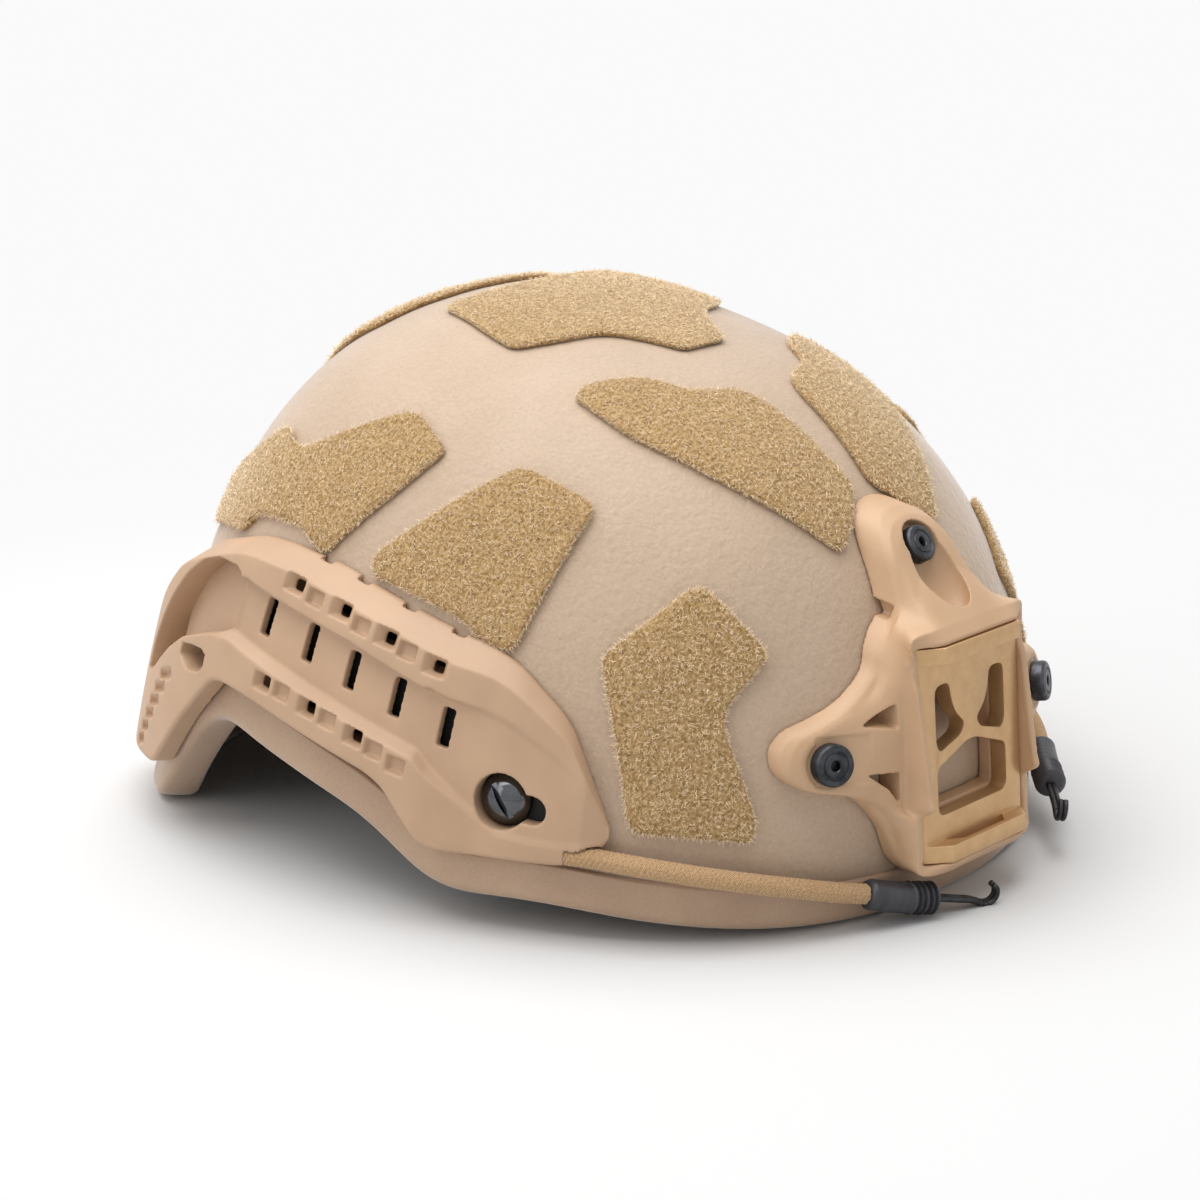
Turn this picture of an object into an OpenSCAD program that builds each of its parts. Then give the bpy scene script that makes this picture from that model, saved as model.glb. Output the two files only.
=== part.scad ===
// High-cut combat helmet, standing on its brow and nape.
// The shell is one closed-form dome. Everything on it is placed by azimuth and height:
// azimuth 0 is the front, 90 the wearer's right and 180 the nape, and heights are
// measured from the shell's widest line, in the helmet's own level frame.

/* [Shell] */
// Half of the shell's outer width
half_w = 120.7; // [112:0.1:128]
// Outer length from the widest line to the brow
front_len = 155.2; // [148:0.1:162]
// Outer length from the widest line to the back
rear_len = 110.9; // [104:0.1:118]
// Outer height of the crown above the widest line
crown_h = 163.6; // [156:0.1:172]
// Squareness of the plan view
plan_n = 2.38; // [2.2:0.01:2.5]
// Squareness of the profile
crown_n = 2.585; // [2.4:0.005:2.7]
// How far the nape flares out at its lower edge
flare_out = 11.4; // [6:0.1:14]
// Height at which the flare starts
flare_top = 55; // [48:1:62]
// Wall of the laminated shell
shell_t = 8.5; // [7:0.1:10]

/* [Rim] */
// Height of the shell's edge at the brow
brow_z = 30.8; // [28:0.1:33]
// Lowest point of the edge at the temple
temple_z = 24.2; // [22:0.1:27]
// Height of the edge where the ear cut begins
ear_low_z = 36.5; // [34:0.1:39]
// Highest point of the ear cut
ear_high_z = 43.7; // [41:0.1:46]
// Azimuth of the ear cut's rear corner
ear_rear_az = 107; // [106:0.1:108]
// Azimuth at which the edge comes down to the table again
nape_az = 126.5; // [125:0.1:128]
// Wall of the edge trim
trim_t = 2.2; // [1.8:0.1:2.6]
// Height of the trim's lips over the edge
trim_h = 10.5; // [9:0.1:12]
// How far the helmet pitches forward when it stands
pitch = 9.9; // [9:0.1:10.5]

/* [Side rails] */
// Standing height of the ridges over the shell
rail_t = 9.6; // [8.6:0.1:10.4]
// Thickness of the channel floor over the shell
rail_floor = 6; // [5:0.1:6.8]
// Spacing of the pockets in the ridges
pocket_pitch = 9.3; // [9:0.05:9.6]
// Side of a square pocket
pocket_w = 5.2; // [4.6:0.1:5.8]
// Width of an accessory slot
slot_w = 5; // [4.4:0.1:5.4]
// Height of an accessory slot
slot_h = 11; // [10:0.1:12]
// Diameter of the domed screw's head
screw_d = 15.5; // [14:0.1:16.2]

/* [Shroud] */
// Width of the mounting plate
plate_w = 49.2; // [48:0.1:50.4]
// Height of the mounting plate
plate_h = 63.5; // [62:0.1:65]
// Depth of the mounting plate
plate_d = 11; // [10:0.1:12]
// Sideways distance of each lower shroud bolt from the centre line
bolt_x = 48.6; // [47:0.1:50]
// Height of the lower shroud bolts
bolt_z = 77.2; // [75:0.1:79]
// Height of the upper shroud bolt
bolt_top_z = 123.5; // [122:0.1:125]
// Head diameter of a shroud bolt
bolt_d = 13; // [12:0.1:13.8]

/* [Soft parts] */
// Height of the loop pile over the shell
pile_t = 2.4; // [1.8:0.1:2.8]
// Thickness of the liner pads
pad_t = 17; // [14:0.5:19]
// Diameter of the elastic cords
cord_d = 6; // [5:0.1:6.6]
// Width of the harness webbing
web_w = 19; // [16:0.5:20]
// Thickness of the harness webbing
web_t = 1.6; // [1.2:0.1:2]

/* [Fit] */
// Gap between hard pieces that are screwed together
seat_gap = 0.3; // [0.2:0.05:0.4]
// Radial clearance of a shank in its bore
bore_gap = 0.2; // [0.1:0.05:0.3]
// Radial running clearance of the turning knob
run_gap = 0.06; // [0.03:0.01:0.1]

/* [Hidden] */

flare_low = -30;
flare_n = 1.3;
core_gap = 0.4;
fine = 48;

// The dome
function unit(v) = v / norm(v);
function lean(z) = flare_out * pow(max(0, (flare_top - z) / (flare_top - flare_low)), flare_n);
function reach(rear, z, off) = rear ? rear_len + off + lean(z) : front_len + off;
function taper(z, off) =
  pow(max(1 - pow(max(z, 0) / (crown_h + off), crown_n), 0.000001), 1 / crown_n);

// Point on the wall at an azimuth and a height, standing off the outer surface by off
function wall(az, z, off) =
  let (t = taper(z, off), a = (half_w + off) * t, b = reach(cos(az) < 0, z, off) * t,
       r = pow(pow(abs(sin(az)) / a, plan_n) + pow(abs(cos(az)) / b, plan_n), -1 / plan_n))
  [-r * sin(az), -r * cos(az), z];

// 1 on the surface that stands off by off, less inside it and more outside
function level(p, off) =
  pow(pow(pow(abs(p.x) / (half_w + off), plan_n)
          + pow(abs(p.y) / reach(p.y > 0, p.z, off), plan_n), crown_n / plan_n)
      + pow(max(p.z, 0) / (crown_h + off), crown_n), 1 / crown_n);

// Point where a ray from inside meets the surface
function cast(o, d, off, near = 0, far = 250, n = 20) =
  let (m = (near + far) / 2)
  n == 0 ? o + d * m :
  level(o + d * m, off) < 1 ? cast(o, d, off, m, far, n - 1) : cast(o, d, off, near, m, n - 1);

// Outward direction at a point on the surface
function outward(p, e = 0.05) =
  unit([level(p + [e, 0, 0], 0) - level(p - [e, 0, 0], 0),
        level(p + [0, e, 0], 0) - level(p - [0, e, 0], 0),
        level(p + [0, 0, e], 0) - level(p - [0, 0, e], 0)]);

// Millimetres along the wall for one degree of azimuth
function pace(az) = norm(wall(az + 1, 20, 0) - wall(az - 1, 20, 0)) / 2;

// Outlines
// Each corner point is [x, y] or [x, y, cut], and a cut rounds it by that length
function cut_at(p) = len(p) > 2 ? p[2] : 0;
function flat(p) = [p[0], p[1]];
function corner(a, b, c, n = 3) =
  let (cut = min(cut_at(b), norm(flat(a) - flat(b)) * 0.48, norm(flat(c) - flat(b)) * 0.48),
       p = flat(b) + unit(flat(a) - flat(b)) * cut, q = flat(b) + unit(flat(c) - flat(b)) * cut)
  cut < 0.01 ? [flat(b)] :
  [for (i = [0:n]) let (t = i / n) p * (1 - t) * (1 - t) + flat(b) * 2 * t * (1 - t) + q * t * t];
function soft_line(pts) =
  let (m = len(pts))
  [for (i = [0:m - 1]) each i == 0 || i == m - 1 ? [flat(pts[i])] : corner(pts[i - 1], pts[i], pts[i + 1])];
function soft_loop(pts) =
  let (m = len(pts))
  [for (i = [0:m - 1]) each corner(pts[(i + m - 1) % m], pts[i], pts[(i + 1) % m])];
function split_line(pts, step) =
  [for (i = [0:len(pts) - 2]) let (d = pts[i + 1] - pts[i], n = ceil(norm(d) / step))
     for (k = [0:n - 1]) pts[i] + d * k / n];
function split_loop(pts, step) =
  [for (i = [0:len(pts) - 1]) let (d = pts[(i + 1) % len(pts)] - pts[i], n = ceil(norm(d) / step))
     for (k = [0:n - 1]) pts[i] + d * k / n];
function mirrored(pts) = [for (i = [len(pts) - 1:-1:0]) [-pts[i][0], pts[i][1], cut_at(pts[i])]];

// Closed solid through loops of equal length, ending in a point at each end
module loft(loops, first, last) {
  n = len(loops[0]);
  m = len(loops);
  polyhedron(
    points = concat([for (l = loops) each l], [first, last]),
    faces = concat(
      [for (r = [0:m - 2], c = [0:n - 1], d = (c + 1) % n) each
        [[r * n + c, (r + 1) * n + d, (r + 1) * n + c], [r * n + c, r * n + d, (r + 1) * n + d]]],
      [for (c = [0:n - 1]) [(c + 1) % n, c, m * n]],
      [for (c = [0:n - 1]) [(m - 1) * n + c, (m - 1) * n + (c + 1) % n, m * n + 1]]),
    convexity = 8);
}

// Closed ring through loops of equal length
module ring(loops) {
  n = len(loops[0]);
  m = len(loops);
  polyhedron(
    points = [for (l = loops) each l],
    faces = [for (r = [0:m - 1], s = (r + 1) % m, c = [0:n - 1], d = (c + 1) % n) each
      [[r * n + c, s * n + d, s * n + c], [r * n + c, r * n + d, s * n + d]]],
    convexity = 8);
}
function middle(loop) = [for (k = [0:2]) [for (p = loop) p[k]] * [for (p = loop) 1] / len(loop)];

// Stands children at a point, with their Z along a direction
module aim(p, n) translate(p) rotate([0, acos(n.z), atan2(n.y, n.x)]) children();
module both() {
  children();
  mirror([1, 0, 0]) children();
}

// Rim
// Height of a point over the table's plane once the helmet is pitched
function height(p) = p.y * sin(pitch) + p.z * cos(pitch);
stand_z = -height(wall(0, brow_z - trim_t, -1.2));
// Height of the rim at which the trim's inner lip rests on the table
function table_z(az) = trim_t - (stand_z + wall(az, -12, 0.8 - shell_t).y * sin(pitch)) / cos(pitch);
function rim_at(az, z, cut = 0) = [az * pace(75), z, cut];
rim_line = soft_line([rim_at(0, brow_z), rim_at(50, brow_z, 16), rim_at(62.5, temple_z, 10),
  rim_at(74.5, ear_low_z, 11), rim_at(ear_rear_az, ear_high_z, 13),
  rim_at(nape_az, table_z(nape_az), 8), rim_at(nape_az + 6, table_z(nape_az + 6))]);
rim_half = concat([for (p = split_line(rim_line, 12)) [p[0] / pace(75), p[1]]],
  [for (az = [nape_az + 6, 140, 148, 156, 164, 172, 180]) [az, table_z(az)]]);
rim = concat(rim_half, [for (i = [len(rim_half) - 2:-1:1]) [360 - rim_half[i][0], rim_half[i][1]]]);

// The whole helmet is modelled level and then pitched forward on to its brow and nape
function forward(p) = p.y * cos(pitch) - p.z * sin(pitch);
plate_at = [0, -169.3 - (front_len - 155.2), 49.4];
stand_y = -(forward(plate_at) + forward(wall(180, table_z(180), trim_t))) / 2;
module standing() translate([0, stand_y, stand_z]) rotate([pitch, 0, 0]) children();

// Shell
ring_low = 52;
ring_n = 9;
function ring_z(i, off) =
  let (a0 = asin(pow(ring_low / crown_h, crown_n / 2)), a = a0 + (90 - a0) * i / ring_n)
  (crown_h + off) * pow(sin(a), 2 / crown_n);
function shell_loop(k, off) =
  [for (s = rim) wall(s[0], k < 3 ? s[1] + (ring_low - s[1]) * k / 3 : ring_z(k - 3, off), off)];

module dome_wall() {
  outer = [for (k = [0:ring_n + 2]) shell_loop(k, 0)];
  inner = [for (k = [ring_n + 2:-1:0]) shell_loop(k, -shell_t)];
  loft(concat(inner, outer), [0, 0, crown_h - shell_t], [0, 0, crown_h]);
}

screw_az = 54.8;
screw_z = 56.3;
rear_az = 124.5;
rear_z = 30;
shank_r = 2.5;
function on_front(x, z, off) = cast([x, 0, z], [0, -1, 0], off);
top_dir = outward(on_front(0, bolt_top_z, 0));
side_dir = outward(on_front(bolt_x, bolt_z, 0));
screw_dir = outward(wall(screw_az, screw_z, 0));
rear_dir = outward(wall(rear_az, rear_z, 0));
module at_top_bolt() aim(on_front(0, bolt_top_z, 0), top_dir) children();
module at_side_bolt() aim(on_front(bolt_x, bolt_z, 0), side_dir) children();
module at_screw() aim(wall(screw_az, screw_z, 0), screw_dir) children();
module at_rear_screw() aim(wall(rear_az, rear_z, 0), rear_dir) children();
module bore(r, low, high) translate([0, 0, low]) cylinder(r = r, h = high - low, $fn = fine);

module shell() color("#b9a48c") standing() difference() {
  dome_wall();
  at_top_bolt() bore(shank_r + bore_gap, -20, 10);
  both() at_side_bolt() bore(shank_r + bore_gap, -20, 10);
  both() at_screw() bore(shank_r + bore_gap, -20, 10);
  both() at_rear_screw() bore(shank_r + bore_gap, -20, 10);
}

// Edge trim
trim_gap = 0.3;
lip_t = 1.6;
function trim_section() =
  let (o = trim_gap, i = -shell_t - 0.6)
  [[trim_h, o], [trim_h, o + lip_t * 0.6], [trim_h - 1, o + lip_t], [1, o + trim_t],
   [-trim_t * 0.8, o + 0.4], [-trim_t, -1.2], [-trim_t, i + 1.4], [-trim_t * 0.8, i - 0.6],
   [1, i - lip_t - 0.2], [trim_h - 2, i - lip_t], [trim_h - 2, i], [-trim_gap, i], [-trim_gap, o]];
function trim_loop(k) =
  let (m = len(rim), a = rim[(k + m - 1) % m], b = rim[(k + 1) % m], s = rim[k], w = pace(s[0]),
       da = b[0] - a[0] + (b[0] < a[0] ? 360 : 0), t = unit([da * w, b[1] - a[1]]))
  [for (q = trim_section()) wall(s[0] - t[1] * q[0] / w, s[1] + t[0] * q[0], q[1])];
module edge_trim() color("#a8917a") standing() ring([for (k = [0:len(rim) - 1]) trim_loop(k)]);

// Loop patches and pads
// A patch is centred on a direction from the dome's centre. Its outline is in
// millimetres across that direction: first towards higher azimuth, then upwards.
function axis_out(az, el) = [-sin(az) * cos(el), -cos(az) * cos(el), sin(el)];
function axis_side(az) = [-cos(az), sin(az), 0];
function lift(az, el, p, off) =
  let (n = axis_out(az, el), u = axis_side(az), w = cross(u, n))
  cast(u * p[0] + w * p[1], n, off);
function lift_ring(az, el, hub, line, s, off) =
  [for (p = line) lift(az, el, hub + (p - hub) * s, off)];

module patch(az, el, hub, outline, low, high) {
  line = split_loop(soft_loop(outline), 13);
  loft([for (q = [[0.34, low], [0.68, low], [1, low], [1, high - 0.7], [0.97, high], [0.68, high], [0.34, high]])
          lift_ring(az, el, hub, line, q[0], q[1])],
    lift(az, el, hub, low), lift(az, el, hub, high));
}
patch_low = 0.7;
module pile(az, el, hub, outline) color("#c2a56c") standing() patch(az, el, hub, outline, patch_low, pile_t);

crown_half = [[9.5, -38.5, 3], [14.5, -29, 5], [22, -17.5, 8], [36, -12.5, 5], [48, -5, 4], [46, 8, 8],
  [38, 34, 4], [18, 31, 4]];
module loop_crown() pile(0, 90, [0, 0], concat(crown_half, mirrored(crown_half)));

rear_crown_half = [[12, -32, 4], [33, -26, 5], [46, 14, 5], [43, 26, 4], [22, 37, 4]];
module loop_rear_crown() pile(180, 60, [0, 4], concat(rear_crown_half, mirrored(rear_crown_half)));

brow_line = [[38, 25, 3], [33, 29, 3], [17, 28, 5], [5, 18, 5], [-11, 18, 5], [-17, 12, 4],
  [-33, -21, 4], [-27.5, -33, 4], [-20, -44, 5], [10, -19, 10], [30, 4, 8]];
module loop_brow_right() pile(20.8, 62.1, [0, -4], brow_line);
module loop_brow_left() mirror([1, 0, 0]) loop_brow_right();

temple_line = [[25, 18, 4], [-2, 38.5, 5], [-21, 18, 3], [-6.5, 1, 6], [-19, -28, 5], [-18, -33.5, 3],
  [15.5, -30, 4]];
module loop_temple_right() pile(34.2, 32.5, [7, 0], temple_line);
module loop_temple_left() mirror([1, 0, 0]) loop_temple_right();

side_line = [[32.5, 1, 3], [-5, 32.5, 4], [-30.5, 25, 4], [-18.5, -20, 4], [-8, -17.8, 3], [-1.5, -13.5, 4],
  [31, -4, 3]];
module loop_side_right() pile(66, 46.2, [-8, 3], side_line);
module loop_side_left() mirror([1, 0, 0]) loop_side_right();

rear_line = [[-36, 26, 3], [-32, 9, 8], [-20, -18.5, 4], [-6, -16, 4], [16, -21, 4], [20, -27, 3], [50, -28, 4],
  [55, -14, 4], [40, -6, 3], [26, 5, 4], [17, 1, 3], [10, 1, 4], [-3, 14, 6], [-17, 30, 4]];
module loop_rear_right() pile(104.5, 50.8, [2, -8], rear_line);
module loop_rear_left() mirror([1, 0, 0]) loop_rear_right();

// Liner pads
pad_gap = 0.9;
module pad(az, el, w, h) color("#3a3631") standing() {
  line = split_loop(soft_loop([[w / 2, h / 2, w * 0.3], [-w / 2, h / 2, w * 0.3],
    [-w / 2, -h / 2, w * 0.3], [w / 2, -h / 2, w * 0.3]]), 16);
  out = -shell_t - pad_gap;
  loft([for (q = [[0.45, 0], [0.9, 0], [1, 0.22], [1, 0.6], [0.9, 0.9], [0.5, 1]])
          lift_ring(az, el, [0, 0], [for (i = [len(line) - 1:-1:0]) line[i]], q[0], out - pad_t * q[1])],
    lift(az, el, [0, 0], out), lift(az, el, [0, 0], out - pad_t));
}
module pad_crown() pad(0, 90, 96, 96);
module pad_front() pad(0, 36, 66, 38);
module pad_rear() pad(180, 48, 84, 50);
module pad_front_right() pad(55, 45, 60, 48);
module pad_front_left() mirror([1, 0, 0]) pad_front_right();
module pad_rear_right() pad(118, 49, 56, 50);
module pad_rear_left() mirror([1, 0, 0]) pad_rear_right();

// Side rails
rail_top = soft_line([[42.6, 55.5], [43.4, 60, 1], [48.3, 82.6, 5], [57.1, 95.5, 5], [92, 101.4, 8],
  [106, 98.5, 5], [120, 86, 6], [134, 52, 8], [141, 27, 5], [145, 10]]);
rail_low = soft_line([[42.6, 53], [43.4, 49, 1], [46.5, 43.8, 3], [64.5, 36.8, 3], [72, 52, 4],
  [97, 56.5, 5], [104, 55.8, 3], [111.2, 33.6, 4], [117.5, 12.5, 3], [131, 4.5, 4], [145, 4]]);
ridge_low_top = [[43, 53], [46.9, 50], [54.8, 47.5], [58.8, 52], [65.6, 59.3], [67.6, 62.1], [103.2, 69],
  [110.4, 63.7], [120, 48], [146, 48]];
ridge_high_low = [[43, 54], [46, 66], [50, 80], [54.2, 86], [62.7, 85], [67.7, 81.8], [80.8, 85.6],
  [101.2, 87.6], [106.3, 90], [112, 84], [120, 70], [146, 48]];
rail_az = [42.6, 43.2, 44.2, 45.6, 47.5, 50, 52.5, 55, 57.5, 60, 62.5, 65, 67, 69, 72, 76, 80, 84, 88, 92,
  96, 100, 102.5, 104, 106, 108, 110, 112, 114, 116, 118, 121, 124, 127, 130, 133, 136, 139, 142, 145];
front_t = 6.5;
function rail_under(az) = lookup(az, [[101, core_gap], [104, trim_gap + trim_t + seat_gap]]);
function rail_high(az) = lookup(az, [[43, 3], [46, front_t], [58, front_t + 0.5], [66, rail_t], [146, rail_t]]);
function rail_mid(az) = lookup(az, [[43, 3], [46, rail_floor], [103, rail_floor], [106, rail_t]]);

function rail_loop(az) =
  let (lo = lookup(az, rail_low), hi = lookup(az, rail_top), h = hi - lo,
       a = max(lo + h * 0.15, min(lookup(az, ridge_low_top), lo + h * 0.38)),
       b = min(hi - h * 0.26, max(lookup(az, ridge_high_low), lo + h * 0.56)),
       top = rail_high(az), mid = rail_mid(az), under = rail_under(az), e = min(1.2, h * 0.07))
  [for (q = [[lo, under], [lo + h * 0.3, under], [lo + h * 0.6, under], [hi, under], [hi, under + 1.6],
             [hi - h * 0.12, top], [b + e, top], [b - e, mid], [a + e, mid], [a - e, top],
             [lo + e, top], [lo, top - e]])
     wall(az, q[0], q[1])];

// Openings bounded by a lower and an upper edge, one [azimuth, low, high] per station
window = [[103.8, 71.5, 88.5], [105.5, 69, 89.8], [110.5, 64, 88.2], [114, 60, 84.5], [118, 52.5, 76.5],
  [122, 43.5, 64.5], [125.5, 35.5, 52], [127.8, 35, 41]];
hook_gap = [[106.8, 57, 60], [108, 54, 60.8], [111, 52.2, 59.4], [113.6, 54.5, 57.5]];
module opening(stations, low = -6, high = 14) {
  loops = [for (s = stations)
    [wall(s[0], s[1], low), wall(s[0], s[2], low), wall(s[0], s[2], high), wall(s[0], s[1], high)]];
  loft(loops, middle(loops[0]), middle(loops[len(loops) - 1]));
}

slot_az = [for (i = [0:4]) 97.4 - 8.55 * i];
slot_zs = [for (i = [0:4]) 78.6 - 1.8 * i];
// Square pocket along a ridge; a deep one goes on through the ridge
module pocket(az, z, deep) aim(wall(az, z, rail_t), outward(wall(az, z, 0)))
  rotate([0, 0, 0]) translate([-pocket_w / 2, -pocket_w / 2, deep ? -rail_t : -3.2])
    cube([pocket_w, pocket_w, rail_t + 2]);
pocket_az = [for (i = [0:6]) 92.5 - i * pocket_pitch / 2.14];
// V-groove across the rear block, and a notch in the upper edge
module serration(az, z) aim(wall(az, z, rail_t), outward(wall(az, z, 0)))
  rotate([0, 0, 20]) translate([-11, 0, 0]) rotate([45, 0, 0]) cube([22, 1.9, 1.9]);
module edge_notch(az) let (z = lookup(az, rail_top)) aim(wall(az, z, rail_under(az)), outward(wall(az, z, 0)))
  translate([-1.6, -2.4, -1]) cube([3.6, 4.8, 3.4]);
module rail_blank() {
  loops = [for (az = rail_az) rail_loop(az)];
  loft(loops, middle(loops[0]), middle(loops[len(loops) - 1]));
}
module rail_right() color("#b08d6d") standing() difference() {
  rail_blank();
  opening(window);
  opening(hook_gap);
  for (i = [0:4])
    aim(wall(slot_az[i], slot_zs[i], 0), outward(wall(slot_az[i], slot_zs[i], 0)))
      translate([-slot_h / 2, -slot_w / 2, -2]) cube([slot_h, slot_w, 14]);
  for (i = [0:6]) {
    pocket(pocket_az[i], 95.2 - i * 0.9, i % 2 == 0);
    pocket(pocket_az[i] + 1, 63.9 - i * 0.85, i % 2 == 0 && i < 6);
  }
  at_screw() bore(screw_d / 2 + 0.8, -3, 14);
  at_screw() rotate([0, 0, 90]) translate([0, -5.2, -3]) cube([16, 10.4, 17]);
  at_rear_screw() bore(shank_r - bore_gap, -3, rail_t - 1.5);
  tube(cord_line(4), cord_d / 2 + 0.35);
  for (i = [0:3]) serration(123.6 + 3.1 * i, 34 - 5.4 * i);
  for (az = [92, 83.6, 74, 65]) edge_notch(az);
}
module rail_left() mirror([1, 0, 0]) rail_right();

// Slotted domed screws, one at the front of each rail, with a shank to the post inside
head_h = 5;
module dome_screw() {
  sag = head_h;
  ball = (pow(screw_d / 2, 2) + sag * sag) / (2 * sag);
  difference() {
    union() {
      intersection() {
        translate([0, 0, core_gap]) cylinder(d = screw_d, h = head_h + 1, $fn = fine);
        translate([0, 0, core_gap + 1 + sag - ball]) sphere(ball, $fn = fine);
      }
      translate([0, 0, -shell_t - 5]) cylinder(r = shank_r, h = shell_t + 6, $fn = fine);
    }
    translate([-screw_d, -0.8, core_gap + head_h - 1]) cube([2 * screw_d, 1.6, 4]);
  }
}
module rail_screws() color("#2f3133") standing() both() at_screw() rotate([0, 0, 40]) dome_screw();
module rail_posts() color("#2f3133") standing() both() at_screw()
  difference() {
    translate([0, 0, -shell_t - 6.2]) cylinder(d = 14, h = 2.4, $fn = fine);
    bore(shank_r + bore_gap, -shell_t - 5.2, 0);
  }
module rail_rear_screws() color("#2f3133") standing() both() at_rear_screw() {
  translate([0, 0, -shell_t - 9.3]) cylinder(d = 12, h = 2.2, $fn = fine);
  translate([0, 0, -shell_t - 7.5]) cylinder(r = shank_r - 2 * bore_gap, h = shell_t + 7.5 + rail_t - 3, $fn = fine);
}

// Shroud
plate_lean = 14.15;
module plate_frame() translate(plate_at) rotate([-plate_lean, 0, 0]) children();
bar_h = 5;
lip_h = 5;
web_depth = 5.6;
chamfer = 6.5;
module plate_outline() polygon([[-plate_w / 2, plate_d], [-plate_w / 2, chamfer], [-plate_w / 2 + chamfer, 0],
  [plate_w / 2 - chamfer, 0], [plate_w / 2, chamfer], [plate_w / 2, plate_d]]);
module side_window() polygon(soft_loop([[-17, 34, 3], [-17, 51, 3], [-10, 51, 2], [-9, 45.5, 3], [-7, 41, 3],
  [-2.8, 37.4, 2], [-4.6, 34.3, 2], [-15.4, 31.2, 3]]));
module low_window() polygon(soft_loop([[-17, 26.5, 2], [-2.2, 31.8, 3], [2.2, 31.8, 3], [17, 26.5, 2],
  [17, 12.3, 3], [-17, 12.3, 3]]));
module shroud_plate() color("#8f7148") standing() plate_frame() difference() {
  linear_extrude(plate_h) plate_outline();
  translate([-plate_w, -1, lip_h]) cube([2 * plate_w, web_depth + 1, plate_h - bar_h - lip_h]);
  translate([0, 0, 1.6]) linear_extrude(lip_h) polygon([[-10, 2], [10, 2], [14, web_depth], [-14, web_depth]]);
  translate([0, plate_d + 1, 0]) rotate([90, 0, 0]) linear_extrude(plate_d + 2) {
    side_window();
    mirror([1, 0]) side_window();
    low_window();
  }
}

pocket_gap = 0.2;
bolt_head = 4.2;
seat_z = 6.2;
// The frame is a closed ring of sections. Each station pairs a point of the frame's edge on the
// shell with one of the plate's pocket: [edge x, edge z, pocket x, pocket height, wall, ridge, middle],
// where the last three are heights over the shell.
pocket_x = plate_w / 2 + pocket_gap;
pocket_top = plate_h + pocket_gap;
frame_rows = [[0, 137.5, 0, pocket_top, 6.5, 9.2, 10.4], [-6.5, 136.6, -4, pocket_top, 6.5, 9.2, 10.4],
  [-11.4, 134, -8, pocket_top, 7, 9.4, 10.8], [-14.6, 129, -12, pocket_top, 7.5, 9.6, 11.6],
  [-16.3, 122.4, -16, pocket_top, 7, 9.2, 12], [-17.6, 117, -19, pocket_top, 6, 8.6, 12],
  [-19.4, 112.8, -pocket_x, pocket_top, 5, 8, 11.6], [-24, 109.5, -pocket_x, 61, 4.2, 7, 10],
  [-27.7, 105.5, -pocket_x, 57.5, 3.8, 6, 8.8], [-30.5, 100.8, -pocket_x, 55.5, 3.6, 5.4, 8],
  [-36, 96.3, -pocket_x, 51.5, 3.6, 5.2, 7.3], [-43, 92.3, -pocket_x, 47, 3.6, 5.4, 6.9],
  [-50.6, 89.2, -pocket_x, 42.5, 3.8, 5.8, 6.8], [-58, 86.2, -pocket_x, 38.5, 4, 6, 6.8],
  [-61.8, 82.3, -pocket_x, 34.5, 4, 6.2, 6.8], [-62.9, 78.2, -pocket_x, 31, 4, 6.2, 6.8],
  [-61.7, 74.2, -pocket_x, 27.5, 4, 6.2, 6.8], [-57.3, 71.3, -pocket_x, 24, 4, 6, 6.8],
  [-48.8, 69.9, -pocket_x, 20.5, 3.8, 5.8, 6.8], [-42, 67.2, -pocket_x, 17, 3.6, 5.4, 7],
  [-37.4, 63.4, -pocket_x, 14, 3.6, 5.2, 7.2], [-32.4, 57.4, -pocket_x, 8, 3.8, 5.4, 7.8],
  [-29.8, 51.4, -pocket_x, 3, 4.2, 6, 8.4], [-27, 46, -pocket_x, -pocket_gap, 5, 7, 9],
  [-22, 42, -18.1, -pocket_gap, 5, 7.4, 9.4], [-14, 40, -9, -pocket_gap, 5, 7.6, 9.4],
  [0, 39.2, 0, -pocket_gap, 5, 7.6, 9.4]];
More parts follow.
